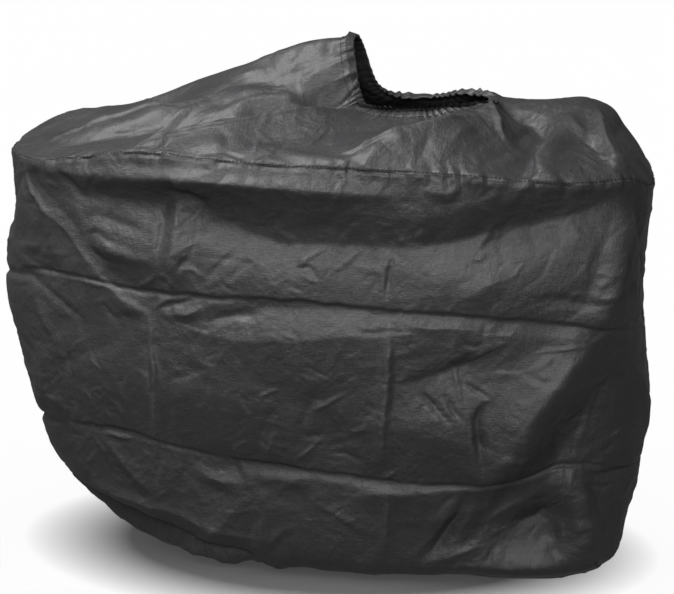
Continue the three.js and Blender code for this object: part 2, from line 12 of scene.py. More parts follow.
import bpy
import numpy as np
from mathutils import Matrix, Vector

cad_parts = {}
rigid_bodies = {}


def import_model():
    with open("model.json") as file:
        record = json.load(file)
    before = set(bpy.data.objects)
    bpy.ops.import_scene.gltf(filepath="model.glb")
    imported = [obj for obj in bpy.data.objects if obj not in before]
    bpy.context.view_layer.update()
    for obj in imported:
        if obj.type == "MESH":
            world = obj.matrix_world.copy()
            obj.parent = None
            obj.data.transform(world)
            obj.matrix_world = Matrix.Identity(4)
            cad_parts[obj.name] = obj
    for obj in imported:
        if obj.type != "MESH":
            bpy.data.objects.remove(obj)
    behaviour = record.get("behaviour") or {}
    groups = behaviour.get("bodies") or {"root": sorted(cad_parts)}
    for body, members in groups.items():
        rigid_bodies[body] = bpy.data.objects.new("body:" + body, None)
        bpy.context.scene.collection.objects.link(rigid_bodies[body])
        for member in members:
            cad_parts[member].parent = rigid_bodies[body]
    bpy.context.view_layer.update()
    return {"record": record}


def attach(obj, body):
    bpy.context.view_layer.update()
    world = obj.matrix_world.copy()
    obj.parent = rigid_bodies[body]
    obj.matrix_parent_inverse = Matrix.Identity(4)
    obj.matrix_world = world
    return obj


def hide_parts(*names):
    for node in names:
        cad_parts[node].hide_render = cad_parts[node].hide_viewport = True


bl_info = {
    "name": "Folded bicycle cover",
    "version": (1, 0, 0),
    "blender": (4, 5, 0),
    "location": "3D View > Sidebar > Bicycle cover",
    "description": "Dresses the packed cover of a folded bicycle in crumpled nylon with its seams",
    "category": "Object",
}

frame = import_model()

MM = 0.001
CARRY_HEIGHT = 564  # the origin above the wall's lowest section
PLAN_CENTRE_X = -20  # middle of the wall's plan
FULL_TURN = 360
TINY = 1e-9  # keeps a division from going wrong at a length of nothing


def table(text):
    """The rows of a table as dictionaries of its named columns."""
    lines = [line.split() for line in text.strip().splitlines()]
    names = lines[0]
    return [{n: w if k == 0 and not w.lstrip("-").replace(".", "").isdigit() else float(w)
             for k, (n, w) in enumerate(zip(names, words))} for words in lines[1:]]


def creases(text):
    """The creases of a table, each with the points that it runs through after its named columns."""
    lines = [line.split() for line in text.strip().splitlines()]
    names = lines[0]
    made = []
    for words in lines[1:]:
        crease = {n: float(w) for n, w in zip(names[1:], words[1:])}
        crease["points"] = np.array([[float(c) for c in place.split(",")] for place in words[len(names):]])
        made.append(crease)
    return made


# Columns of cloth in each panel, and the plan angle of the corner seam where it starts.
PANELS = table("""
panel            columns start
front_panel      300     217
right_end_panel  104     338
back_panel       200     385
left_end_panel   104     505
""")

# Sections of the wall from the hem's rim up. left, right, front and back are how far each reaches from the
# origin's axis, square_left and square_right how square its corners are, and rows how many lie up to the
# next one.
WALL_LEVELS = table("""
level       height left right front back square_left square_right rows
hem_rim      15 -140 228  -70  66 2.0 2.2  12
hem_lip       3 -164 260  -94  88 2.0 2.3  12
sole          0 -204 290 -122 106 2.0 2.5 14
turn         16 -248 318 -137 122 2.1 2.7 26
low          62 -304 335 -145 138 2.2 2.9 37
lower_fold  122 -343 344 -151 148 2.3 3.0 51
belly       208 -365 345 -162 158 2.4 3.1 48
upper_fold  290 -384 341 -160 156 2.4 3.2 36
chest       352 -375 342 -160 152 2.4 3.4 33
neck        408 -370 346 -154 146 2.5 3.6 24
top_seam    446 -370 346 -150 140 2.6 3.6  0
""")
SEAM_FREE_FROM = 7  # the wall above this level follows the rise and fall of the top seam

# How far the top seam lies above or below its section's height, at plan angles in degrees.
SEAM_RISE = table("""
at rise
217  -6
250  11
270   3
310  -9
338  -9
362 -26
390  -6
450   6
505   8
535  -2
560  -4
577  -6
""")

# Broad folds of the walls, in an elevation of each: along is x for the long sides and y for the ends.
# Rows of one fold follow each other. out is how far it stands out of the section, and width how far to
# each side it fades.
FRONT_FOLDS = table("""
fold                 along height   out width
roll_below_the_seam   -330   436     3    13
roll_below_the_seam   -252   432    10    15
roll_below_the_seam   -110   431    15    16
roll_below_the_seam     24   425    12    15
roll_below_the_seam     90   423     3    12
sag                   -264   410    -3    18
sag                   -150   404    -7    22
sag                    -40   373    -6    32
sag                     60   368    -7    35
sag                    150   375    -8    34
sag                    240   396   -11    30
sag                    316   422    -7    24
upper_packing_fold    -340   314    -1    10
upper_packing_fold    -116   306    -1    10
upper_packing_fold     312   290    -1    10
hip_swell             -190   214     2    46
hip_swell              165   168     9    46
middle_hollow         -100   250    -4    46
middle_hollow           34   176    -7    44
lower_packing_fold    -276   146    -1    10
lower_packing_fold    -111   130    -2    11
lower_packing_fold      68   116    -2    11
lower_packing_fold     196   117    -1    10
lower_packing_fold     296   134    -1    10
left_upright_crease   -160   390    -2    12
left_upright_crease   -168   306    -2    12
left_upright_crease   -156   130    -1    12
right_upright_crease    92   330    -1    12
right_upright_crease    90   236    -2    12
right_upright_crease    82   112    -1    12
left_drag             -338   418    -3    20
left_drag             -241   339    -6    26
left_drag             -183   312    -4    18
left_drag_ridge       -298   418     4    20
left_drag_ridge       -214   352     5    24
right_corner_ridge     326   410     3    20
right_corner_ridge     305   300    10    26
right_drag_ridge       300   282    10    26
right_drag_ridge       232   181    15    30
right_drag_ridge       198   122     8    24
right_hollow           318   226   -10    30
right_hollow           262   142   -12    26
foot_ridge             276   124     5    16
foot_ridge             290    40     9    20
foot_hollow            214   106   -10    22
foot_hollow            172    44    -8    22
foot_flap              204    18     6    16
foot_flap              256    24    12    18
foot_flap              306    30     9    18
tuck_ridge            -272    76     8    20
tuck_ridge            -140    32     9    18
tuck_ridge             -40    12     4    14
""")
BACK_FOLDS = table("""
fold               along height   out width
sag                  236   408    -6    22
sag                   60   376   -20    36
sag                 -200   404    -8    24
upper_packing_fold   300   296    -2    11
upper_packing_fold  -330   304    -2    11
hip_swell            190   222     5    46
hip_swell           -200   226     3    46
lower_packing_fold   290   122    -2    11
lower_packing_fold  -280   132    -2    11
upright_crease        70   350    -5    14
upright_crease        82   110    -6    14
right_drag           290   280     6    24
right_drag           196   140    10    26
left_drag           -330   404    -8    18
left_drag           -210   316    -6    18
foot_drag_left      -180   108    -5    20
foot_drag_left      -120    36    -8    22
foot_drag_right      120   106    -5    20
foot_drag_right      170    34    -8    22
""")
RIGHT_END_FOLDS = table("""
fold               along height   out width
corner_drag          -84   420    -5    16
corner_drag          -20   350    -7    20
upper_packing_fold  -110   286    -2    11
upper_packing_fold   110   278    -2    11
hip_swell            -40   186     4    40
hip_swell             40   186     4    40
lower_packing_fold  -110   122    -2    11
lower_packing_fold   110   118    -2    11
""")
LEFT_END_FOLDS = table("""
fold               along height   out width
corner_drag          -60   430    -4    14
corner_drag          -30   360    -6    18
upper_packing_fold   110   300    -2    11
upper_packing_fold  -110   312    -2    11
upright_pleat         36   400    -6    18
upright_pleat         12   170    -8    22
lower_packing_fold   110   132    -2    11
lower_packing_fold  -110   142    -2    11
""")

FOLD_SHARPNESS = 1.4  # 2 gives every broad fold a round crest, and 1 a sharp one
FOLD_REACH = 5  # widths from its line at which a broad fold has run out
FOLD_SOFTENING = 2  # smoothing passes over the broad folds
SIDE_FADE = (8, 60)  # a long side's folds fade out over these distances from the middle of an end
END_FADE = (232, 330)

# The opening for the saddle, and the height of its rim round it: at 0 the end towards +X, at 90 the back.
OPENING = {"centre": 94, "half_length": 74, "half_width": 43, "square_left": 3.0, "square_right": 1.9}
RIM_HEIGHTS = table("""
at  height
0     502
50    508
100   500
132   516
158   560
180   571
200   556
226   505
250   497
290   500
330   499
360   502
""")

# Ridges and troughs that the top panel is drawn taut between, as plan lines.
TOP_FOLDS = table("""
fold                         x     y height
hood_crest                  14     0   570
hood_crest                 -34     2   568
hood_crest                 -90     4   545
hood_crest                -160    12   520
hood_crest                -240    36   486
hood_crest                -322    45   479
hood_crest                -350    28   468
hood_crest                -363    12   457
left_corner_ridge         -318   -72   450
left_corner_ridge         -209   -62   482
left_corner_ridge         -141   -30   510
hollow_behind_it          -324    -6   456
hollow_behind_it          -216   -10   472
front_ridge               -232  -116   460
front_ridge               -101   -98   479
front_ridge                 16   -44   498
front_slope_hollow        -210   -90   463
front_slope_hollow        -124   -74   479
hood_front_left           -138   -36   508
hood_front_left           -105   -90   480
hood_front_middle          -83   -38   521
hood_front_middle          -28   -54   504
hood_front_hollow          -64   -66   484
hood_front_hollow            2   -46   488
front_shelf               -110  -122   471
front_shelf                -40  -128   468
front_shelf                 34  -142   459
saddle_ridge                47  -141   459
saddle_ridge                89  -122   480
saddle_ridge               132   -90   493
saddle_ridge               166   -28   504
saddle_hollow               34   -92   477
saddle_hollow              128   -66   491
nose_ridge                 172   -24   502
nose_ridge                 206   -70   470
nose_ridge                 216  -132   440
nose_trough                184    12   494
nose_trough                228   -26   470
nose_trough                226  -124   438
hump_edge                  248   -34   482
hump_edge                  240   -96   462
hump_edge                  246  -134   444
hump_crest                 248   -34   482
hump_crest                 274    40   508
hump_ridge_to_the_corner   274    40   508
hump_ridge_to_the_corner   318   -80   455
hump_hollow                262   -52   470
hump_hollow                308   -92   448
back_right_crest           166    36   510
back_right_crest           222    58   503
back_right_crest           274    40   508
right_end_crest            274    40   508
right_end_crest            297    40   500
right_end_crest            315    36   476
right_end_crest            334    20   443
back_drag_left             -70    14   552
back_drag_left            -120   118   462
back_drag_middle            70    52   499
back_drag_middle            20   126   457
back_drag_right            150    46   506
back_drag_right            190   124   458
back_hollow                108    72   477
back_hollow                112   120   450
""")

# Creases with nearly flat flanks, each from one end to the other through points along,height. out is how
# far its crest stands out, or its trough in, and left and right are how wide its flanks are, seen going
# along it.
FRONT_CREASES = creases("""
crease                out left right
upper_packing_left     -3    4    5  -345,318 -280,321 -235,317 -185,311 -110,309 -50,308
upper_packing_middle   -4    4   26  -82,309 -40,308 20,306 80,303 112,302
upper_packing_right    -3    4   12  82,303 150,300 225,295 300,287 336,274
upper_lip_left          2    3    4  -262,317 -235,314 -208,309
upper_ledge             7   28   56  -125,274 -85,266 -45,266 0,269 45,276 95,279
upper_ledge_right       5   13   40  90,287 150,287 195,282
sag_line               -8   32   60  -165,412 -110,395 -40,373 40,369 130,373 210,390 280,410
sag_pocket             -6    8   12  -156,417 -132,413 -108,403
left_diagonal           8   12   48  -328,427 -316,408 -298,390 -270,370 -245,342 -225,318
left_diagonal_lip       2    3    3  -330,428 -318,411 -300,394 -283,382
left_corner             3   11   15  -283,328 -295,376 -297,410 -299,437
left_corner_shadow     -3    8    5  -246,403 -265,420 -288,437
left_corner_fleck       2    4    4  -297,421 -283,416
left_foot_of_fold       3    9   12  -286,228 -305,262 -326,297
left_foot_trough       -3    8    9  -248,268 -284,288 -312,305 -340,318
left_lower_edge         4   13   14  -288,142 -300,166 -311,188 -313,213 -319,243
first_upright          -3    4    8  -282,148 -276,180 -277,210 -282,248
lower_packing_left     -3    4    5  -286,147 -242,149 -200,147 -160,138 -120,134 -94,129
lower_packing_middle   -4    4   12  -98,128 -40,125 0,122 40,119 80,115 120,113
lower_packing_right    -3    4    4  100,113 160,114 200,117 240,127 280,136 325,126
lower_light_left        3    4    6  -240,144 -222,143 -200,139
lower_lens              4   12   14  -138,121 -113,107 -78,102 -62,108
lower_lens_right        3   12   13  -66,98 -42,109 0,106
lower_ledge             4   10   22  45,98 80,101 120,104 140,108
right_drag              8   42   42  196,124 220,138 230,158 234,185 256,218 274,244 300,273
drag_lip                2    4    4  281,142 286,165 293,192 300,220
bulge_pleat_low        -6    5    6  158,186 145,195 135,205 119,219
bulge_pleat_middle     -5    4    5  168,187 160,197 155,207 146,216
bulge_pleat_high       -4    3    5  197,213 185,220 166,229
bulge_brow             -8   10   44  100,220 118,229 135,237 155,245 175,252 200,260
bulge_hook             -8    5   12  189,128 186,146 184,165 182,182 185,200 198,213
bulge_lip               2    4    4  80,115 90,124 100,132
bulge_flap              2    6    8  202,138 216,150 236,148
star_down               3    6   11  -219,311 -203,299 -186,290 -170,282
star_right             -4    6    6  -166,293 -150,298 -129,304 -110,307
star_wedge              4    9   10  -163,284 -142,288 -122,292 -104,303
star_up                 2    4    4  -172,288 -160,298 -148,309
star_flap              -4    9    8  -114,278 -98,285 -77,290 -55,292 -45,300
star_lip                2    4    4  -185,314 -175,321 -163,329
star_tip                2    5    5  -163,333 -150,326 -142,314
left_bright_foot        3   10   12  -241,359 -221,354 -204,350 -187,345 -172,347
left_bright_head       -2    8   10  -262,377 -245,386 -230,388 -208,382 -187,377 -170,372
left_zigzag            -2    5    5  -249,364 -236,370 -220,363 -203,359
pinch                  -3    5    5  -140,335 -133,345 -125,351
pinch_lip               2    3    3  -132,336 -124,338 -112,330
second_upright_high     8   13   22  -150,318 -146,345 -144,384 -142,424
second_upright_groove  -2    3    3  -163,336 -162,360 -160,385 -163,412
second_upright          5    6    4  -171,139 -170,160 -168,193 -168,226 -171,253 -172,278
second_upright_side    -3    4    3  -176,197 -177,230 -178,262
second_upright_low     -3    4    4  -174,88 -172,112 -170,134
third_upright_high     -4    4    5  86,314 87,332 89,350 90,361
third_upright_head     -2    5    5  92,354 94,364 95,376
third_upright           6   10    6  79,127 82,152 85,187 88,220 90,252 92,283
third_upright_low       4    8    5  83,30 85,60 86,85 86,102
fourth_upright         -2    3    5  187,270 186,282 189,294
middle_upright         -1    5    5  -66,100 -62,60 -60,20
crumple                2.1    3    2  -248,231 -240,223 -233,215
crumple                1.5    3    2  -190,225 -182,219 -174,212
crumple               -2.1    4    4  -205,192 -208,206 -203,219
crumple                2.1    4    4  2,188 21,199 39,210 50,218
crumple                2.1    2    2  -42,139 -38,156 -33,172
crumple               -2.1    3    2  -46,139 -48,157 -49,180
crumple                2.1    2    3  -15,131 0,145 16,160
crumple                1.5    4    4  42,163 55,171 69,180
crumple               -2.1    3    3  -57,184 -66,195 -69,210
crumple                1.5    2    2  -89,200 -82,211
crumple                1.5    2    2  -51,196 -46,206 -37,211 -24,213
crumple                2.1    2    2  -23,275 -16,273 -9,270
crumple               -1.5    3    3  -3,246 13,235 32,229
crumple               -1.5    5    5  -115,321 -96,341 -77,360 -68,371
crumple               -1.5    4    5  -20,337 -7,345 5,343 14,331
crumple                1.5    3    3  -7,336 2,334 11,329
crumple               -1.5    3    4  -19,330 -11,324 -2,320
crumple               -1.5    2    3  -95,328 -84,321 -72,317
crumple                1.5    2    2  -32,438 -16,431
crumple               -1.5    4    4  -236,296 -222,286 -210,268
crumple                1.5    3    3  -262,200 -252,186 -246,170
crumple                1.5    4    4  -228,186 -214,176 -206,160
crumple               -1.5    3    3  28,292 31,300
crumple                1.5    3    4  238,262 262,266 296,271
crumple               -1.5    4    4  164,274 180,268 190,276
right_light_foot        4   16   24  158,315 187,331 222,346
right_patch_head       -3    9   10  231,312 248,315 273,317 303,311 311,306
right_shadow_step      -2    6    8  176,372 192,378 214,386
right_corner           10   22    8  309,292 316,320 321,345 326,372 331,400 335,424
roll_light              3    8   10  122,432 140,428 165,432
roll_gap               -2    3    3  121,427 119,441
roll_gap               -2    3    3  178,424 180,441
foot_diagonal          -9   12   12  121,24 141,47 157,71 167,92 175,108
foot_diagonal_thin     -2    4    4  140,83 148,95 159,107
foot_wedge              4   11   11  127,23 150,31 177,40 196,44
foot_notch             -3    5    4  192,24 196,35 201,46
foot_valley           -14   22   46  201,51 225,67 246,77 261,91 270,102
foot_ridge              9   34   13  300,26 295,56 290,92 286,120 284,135
foot_ridge_lip          2    4    3  272,106 277,120 281,134
foot_light              7   46   16  118,14 170,20 230,22 290,28
foot_pocket            -3    8    8  288,117 298,110 310,107 326,113
left_wedge              4   13   15  -169,74 -187,84 -211,108 -234,134 -243,144
left_wedge_lip          2    4    5  -231,112 -243,127 -257,139
tuck_edge               2   12   12  -262,76 -197,62 -157,57 -118,47 -80,35 -58,22
tuck_valley           -18   30   12  -285,66 -262,50 -197,30 -157,23 -118,15 -80,8 -50,2
""")
BACK_CREASES = creases("""
crease                out left right
upper_packing_right    -4    9   12  330,292 240,297 150,300 40,302 -60,303
upper_packing_left     -5    9   18  -20,303 -120,306 -200,312 -330,306
lower_packing_right    -5    6   10  320,124 240,118 170,114 60,112 -60,112
lower_packing_left     -4    7    8  -30,112 -160,122 -230,134 -290,140
upright                 3    8    6  96,130 90,180 88,240 88,300
upright_high           -3    6    6  -70,312 -76,350 -75,385 -74,422
upright_low             2    7    6  -118,20 -122,60 -116,104
pocket_edge            -6   26   12  300,412 220,398 150,386 60,374 0,371
pocket_edge            -6   30   13  30,371 -60,376 -150,392 -230,408 -290,424
left_drag               5   26   30  -300,332 -262,280 -236,232 -206,176 -180,128
right_drag              5   20   24  292,182 262,164 230,140 190,98 150,58
foot_fan                4   12   10  -70,20 -92,58 -104,98
foot_fan               -4    9   11  10,16 -6,54 -10,96
foot_fan                3   10   10  70,20 62,60 66,98
crumple                -3    6    7  -150,350 -120,338 -96,342
crumple                 3    7    5  -30,246 -4,232 20,236
crumple                 2    5    5  150,214 172,232 190,228
crumple                -2    6    6  -196,230 -170,216 -150,190
crumple                 3    5    6  40,168 62,184 70,206
crumple                -3    7    7  196,348 224,332 256,336
crumple                 2    4    5  -60,196 -46,178 -50,160
crumple                -2    5    5  236,230 250,250 246,268
crumple                 2    6    6  110,64 128,82 150,86
crumple                -3    8    6  -220,60 -196,84 -170,90
""")
RIGHT_END_CREASES = creases("""
crease                out left right
upper_packing_crease   -4    7    8  -120,284 -60,274 0,268 60,272 120,280
lower_packing_crease   -4    6    8  -120,122 -60,119 0,118 60,117 120,118
corner_drag            -5   20   16  -92,428 -62,392 -30,352 4,290
corner_drag_back       -4   16   18  100,412 66,366 40,330 16,284
hip                     4   18   20  -62,244 -40,206 -24,180 -30,128
hip_back               -3   12   12  70,250 52,210 56,160
foot_pleat             -4   14   14  -22,112 -14,74 -8,40
foot_pleat_back         3   10   12  60,108 48,70 44,40
crumple                 2    5    6  -84,338 -70,322 -74,304
crumple                -2    6    5  30,240 14,220 18,196
crumple                 2    5    5  84,226 92,204 82,186
""")
LEFT_END_CREASES = creases("""
crease                out left right
upper_packing_crease   -4    7    9  122,300 60,300 0,301 -60,306 -112,313
lower_packing_crease   -4    6    8  120,132 60,133 0,134 -50,138 -98,142
corner_drag            -4   16   14  -92,432 -66,406 -40,376 2,308
corner_drag_back       -4   16   18  102,424 74,386 50,350 28,304
hip                     4   18   20  62,264 36,228 20,200 26,138
hip_front              -3   12   12  -60,262 -44,222 -56,170
foot_pleat             -5   16   14  32,124 22,86 14,52
foot_pleat_front        3   10   12  -50,120 -38,84 -30,56
crumple                 2    5    6  -70,350 -52,336 -56,320
crumple                -2    6    5  84,232 70,214 74,190
""")
# The top panel's creases, through points x,y.
TOP_CREASES = creases("""
crease                out left right
left_ridge              9   24   30  -318,-76 -285,-68 -249,-59 -224,-53 -199,-51 -160,-50
left_ridge_back         2    9   10  -257,21 -230,23 -205,11 -171,-16
left_ridge_lip          3    5    4  -318,-76 -285,-68 -249,-59 -224,-53 -199,-51 -160,-50
left_corner_lip         2    5    5  -330,-66 -306,-70 -282,-80
left_hollow            -2   11   13  -289,-98 -256,-90 -219,-80 -180,-74
left_band               3    6    8  -184,-84 -172,-72 -160,-61 -136,-52
front_ridge             9   24   34  -195,-136 -176,-127 -146,-115 -103,-105 -65,-89 -26,-72 14,-52
front_ridge_lip         3    5    4  -195,-136 -176,-127 -146,-115 -103,-105 -65,-89 -26,-72 14,-52
saddle_ridge            9   24   36  30,-135 73,-124 131,-96 163,-48
saddle_ridge_lip        3    5    5  30,-135 73,-124 131,-96 163,-48
nose_ridge              9   16   18  208,-73 190,-65 176,-37 164,10 158,60
nose_ridge_lip          3    5    5  208,-73 190,-65 176,-37 164,10 158,60
nose_valley            -7   16   16  178,8 197,1 218,-9 240,-40
nose_branch            -3    8    8  208,-75 212,-44 217,-10
hump_edge               7   14   20  241,-134 242,-127 237,-103 241,-79 249,-42
hump_edge_lip           3    5    5  241,-134 242,-127 237,-103 241,-79 249,-42
hump_lip                3    5    5  222,-137 229,-100 236,-72
hump_arc                3    8   10  245,-25 255,-8 272,-32 283,-20
hump_crumple           -2    6    6  258,-104 276,-96 292,-108
hump_crumple            2    5    6  262,-72 280,-78 300,-92
right_ridge             6   14   16  329,-60 314,-73 304,-59 290,-16 283,22
right_ridge_lip         3    5    5  329,-60 314,-73 304,-59 290,-16 283,22
right_valley           -5   11   11  266,-38 283,-52 300,-68 315,-82
right_lip               2    5    5  269,-51 293,-66 317,-84
hood_seam_fold          3   12   14  -102,-94 -94,-60 -82,-43
hood_edge               3    9   13  -70,-42 -48,-44 -27,-44
hood_hollow            -4   11   11  -34,-48 -10,-41 13,-39
hood_fold              -2    7    7  -136,-41 -123,-52 -112,-62
hood_groove            -2    4    4  -38,2 -44,-14 -54,-24
hood_groove            -2    4    4  -34,-18 -37,-30 -38,-42
hood_pleat              2    4    5  -14,0 -16,-12 -18,-24
hood_pleat             -3    4    4  -6,0 -5,-20 -3,-38
hood_crumple            2    5    5  -112,-8 -98,-20 -84,-16
hood_crumple           -2    6    6  -84,-4 -72,-18 -64,-32
mid_lip                 2    5    5  -9,-130 0,-110 9,-88
mid_fold               -2    7    7  113,-143 119,-128 125,-106
seam_tuck              -3    4    5  -176,-146 -160,-138 -148,-122
seam_tuck               3    5    4  -62,-142 -58,-130 -60,-116
seam_tuck              -2    4    4  -36,-144 -34,-132 -28,-120
back_ridge              4   14   14  -210,128 -140,96 -70,74 0,60
back_ridge              4   12   14  40,134 76,104 110,60
back_hollow            -4   14   14  -160,134 -130,110 -80,104
back_hollow            -4   12   12  210,128 196,84 176,40
back_crumple           -3    8    8  -60,120 -30,104 6,110
back_crumple            3    8    7  250,110 262,76 290,60
back_crumple           -2    7    7  -270,92 -244,76 -214,80
""")

# Random crumples: columns of cloth from one facet's corner to the next, their height, a seed and how soft
# they are.
CRUMPLES = ((34, 4.5, 1, 2), (17, 2.4, 2, 1))
FACET_STRETCH = (1.25, 1.15)  # of the spacing, up and along the cloth
FACET_UNEVENNESS = 0.36
# How far apart the cloth's calm and crumpled areas lie, up and along it, and how softly they meet.
CALM_SPACING = (75, 70)
CALM_SOFTENING = 40
# Nets of small creases: the distance between their corners, the greatest height and flank of a crease, and
# the share of the net's lines that are creased.
CRUMPLE_NETS = table("""
spacing  out flank chance
68       3.0  18   0.40
34       1.8   9   0.40
17       1.1   4   0.36
""")
NET_UNEVENNESS = 0.38
NET_SHARES = (0.35, 1)  # a small crease is between these shares of the net's greatest height and flank
NET_WANDER = 0.08  # how far its middle strays, as a share of the spacing
ROUGH_PATCH = 2  # lines of a net that are as rough as each other
CALMEST = 0.12
SIDE_AREA = ((-350, 0), (350, 450))
END_AREA = ((-160, 0), (160, 450))
TOP_AREA = ((-370, -150), (350, 140))
FLANK_CURVE = 1.1  # 1 gives a crease flat flanks, and more than that flanks that run out softly
CREASE_STEPS = 4  # stretches of a crease from one of its points to the next
WANDER = 0.6  # how far a crease strays from its smooth line
UNEVENNESS = 0.22  # share by which a crease's depth and width vary
RUN_OUT = 32  # a crease runs out over this distance at its ends, or over a share of it if it is short
RUN_OUT_SHARE = 0.36
# Puckers beside a seam: columns from one to the next, their size and the shares of it that are even and
# uneven, how far they fade out from the seam, and the columns over which size and fade vary.
PUCKERS = {"columns": 3.3, "size": 3.0, "even": 0.6, "uneven": 0.4, "size_patch": 40, "fade": 12,
           "fade_varies": 6, "fade_patch": 22, "fall": 1.5}
SEAM_ROLL = {"out": 0.5, "distance": 5, "width": 4}
SEAM_GROOVE = {"depth": 0.45, "width": 2.2}
# Gathers of the opening's hem: columns from one to the next and how uneven they are, their depth, how deep
# the groove between two of them is, and how their size and their reach from the hem's edge vary.
GATHERS = {"columns": 11, "uneven": 0.4, "patch": 9, "depth": 2.0, "groove": 1.6, "size": 0.75,
           "size_varies": 0.5, "size_patch": 13, "reach": 22, "reach_varies": 10, "reach_patch": 15,
           "fall": 1.3}
RIM_CALM = (2, 30)  # creases and crumples grow from their least to their full share between these distances
RIM_SHARES = (0.2, 0.8)  # the least share, and what is added to it
CHANNEL = 13  # height of the hem's channel for its cord, at the opening
CHANNEL_DEPTH = 1.8
HEM_RADIUS = 1.3  # of the edges where the cloth turns back on itself
HEM_TURN = 190  # degrees that it turns through
HEM_ROWS = 5
HEM_BACK = 8  # length of the turned cloth
TURNED_ROWS = HEM_ROWS + 1

# Seeds of the random draws. Each wall takes the next one after the first, and so does each kind of pucker.
SEEDS = {"calm": 5, "wall_creases": 20, "top_creases": 31, "puckers": 41, "gather_steps": 51,
         "gather_size": 52, "gather_reach": 53, "wall_nets": 60, "top_nets": 70}
NET_SEED_STEP = 10  # from one net of an area to the next
NOISE_STEPS = (0.6, 1.4)  # shortest and longest step of the noise along the ring, as a share of its spacing

STITCH_LENGTH = 2.8
STITCH_PITCH = 4.4
THREAD_RADIUS = 0.42
STITCH_SIDES = 6
# The rings of points round a stitch: shares of its length and of the thread's radius.
STITCH_RINGS = ((0.0, 0.45), (0.12, 0.9), (0.5, 1.0), (0.88, 0.9), (1.0, 0.45))
STITCH_LIFT = 0.3  # the thread lies this far off the cloth
STITCH_LINES = ((3, False), (14.5, True))  # distances from the top seam and from the opening's hem
EDGE_BEND = 1.6  # the bend at which a crease is fully worn
WORN_SHARE = 1.7  # how much paler a worn crease is

GLAZE = 0.12  # a thin smoother skin on the coating, which glints on the creases
GLAZE_ROUGHNESS = 0.24
# How finely the cloth varies: noise to the metre, for slubs across a thread and along it.
SLUB_SCALES = (800, 130)
CRINKLE_SCALE = 60
DENT_SCALES = (55, 150)
PATCH_SCALE = 14
# What wears the cloth paler and what makes it rougher, and by how much.
WORN = {"edge": 0.6, "patches": 0.5, "slubs": 0.6, "least": 0.15}
MATT = {"edge": 0.1, "patches": 0.16, "slubs": 0.12}

# Soft lights: size in metres, place and aim in the part's frame.
TOP_SOFTBOX = ((0.8, 0.7), (-0.75, -0.65, 1.35), (0, 0, -0.2))
FRONT_SOFTBOX = ((1.3, 1.1), (0.25, -2.6, 1.0), (0, 0, -0.3))
BACK_SOFTBOX = ((1.4, 0.4), (-0.6, 2.2, -0.34), (0, 0, -0.34))
PAINTED_SHADOW_REACH = (0.36, 0.253)  # the painted shadow under the cover is an oval of these half-lengths in metres
PAINTED_SHADOW_FADE = (0.45, 1.05)  # squared shares of that oval between which the painted shadow fades out
FLOOR_RADIUS = 14000
FLOOR_SIDES = 96
FLOOR_COLOURS = ((0.86, 0.86, 0.86), (0.9, 0.9, 0.9))
FLOOR_GLOW_AND_PAINTED_SHADOW = ((0.05, 0.05, 0.05), (1, 1, 1))  # the floor's own light in its painted shadow and clear of it
FLOOR_GAP = 6.4  # the floor lies this far below the lowest section, where the folds of the foot stand
CAMERA = {"azimuth": 12, "elevation": 12.5, "distance": 2.3, "aim": (0, 0, -0.284), "focal_pixels": 2047,
          "width_pixels": 674, "sensor": 36}

ANGLE_STOPS = 241  # places round a panel at which its section's length is measured
TOP_ROWS = 96  # rows of cloth from the top seam to the opening
TOP_ROW_CROWDING = 1.3  # over 1, the rows are closer near the seam
COARSE = 3  # the top panel is first drawn taut on every third row and column
RELAX_PASSES = 500
OVER_RELAX = 1.85
TOP_SOFTENING = 2  # smoothing passes over the taut top panel
LINE_REACH = 0.72  # grid steps from a fold's line within which the cloth lies on it


# ---- helpers ----
def columns(rows, *names):
    """Named columns of a table, side by side."""
    return np.array([[row[n] for n in names] for row in rows])


def smooth_rows(rows, place):
    """Rows of numbers at places between them, on a smooth curve through them."""
    last = len(rows) - 1
    i = np.clip(np.floor(place).astype(int), 0, last - 1)
    t = (place - i)[:, None]
    before, start, end, after = (rows[np.clip(i + k, 0, last)] for k in (-1, 0, 1, 2))
    u = 1 - t
    return (start * (1 + 2 * t) * u * u + (end - before) / 2 * t * u * u
            + end * (3 - 2 * t) * t * t - (after - start) / 2 * t * t * u)


def at_angles(rows, column, angle):
    """A column of a table whose rows stand at angles, on a smooth curve."""
    stops = columns(rows, "at")[:, 0]
    i = np.clip(np.searchsorted(stops, angle, side="right") - 1, 0, len(stops) - 2)
    t = np.clip((angle - stops[i]) / (stops[i + 1] - stops[i]), 0, 1)
    return smooth_rows(columns(rows, column), i + t)[:, 0]


def oval(angle, centre, left, right, front, back, square_left, square_right):
    """Points of a squarish oval at angles in degrees."""
    c, s = np.cos(np.radians(angle)), np.sin(np.radians(angle))
    power = 2 / np.where(c < 0, square_left, square_right)
    x = centre + np.sign(c) * np.where(c < 0, centre - left, right - centre) * np.abs(c) ** power
    return np.stack([x, np.sign(s) * np.where(s < 0, -front, back) * np.abs(s) ** power], -1)


def smoothstep(x, start, end):
    """0 before start, 1 after end, and a smooth rise between them."""
    t = np.clip((x - start) / (end - start), 0, 1)
    return t * t * (3 - 2 * t)


def outwards(grid):
    """The way out of the cloth at every point of a ring of columns."""
    along = np.roll(grid, -1, 1) - np.roll(grid, 1, 1)
    up = np.gradient(grid, axis=0)
    way = np.cross(along, up)
    return way / np.maximum(np.linalg.norm(way, axis=-1, keepdims=True), TINY)


def blurred(field, passes):
    """A field on the ring smoothed over its neighbours."""
    for _ in range(passes):
        field = (np.roll(field, 1, 1) + 2 * field + np.roll(field, -1, 1)) / 4
        padded = np.concatenate([field[:1], field, field[-1:]])
        field = (padded[:-2] + 2 * padded[1:-1] + padded[2:]) / 4
    return field


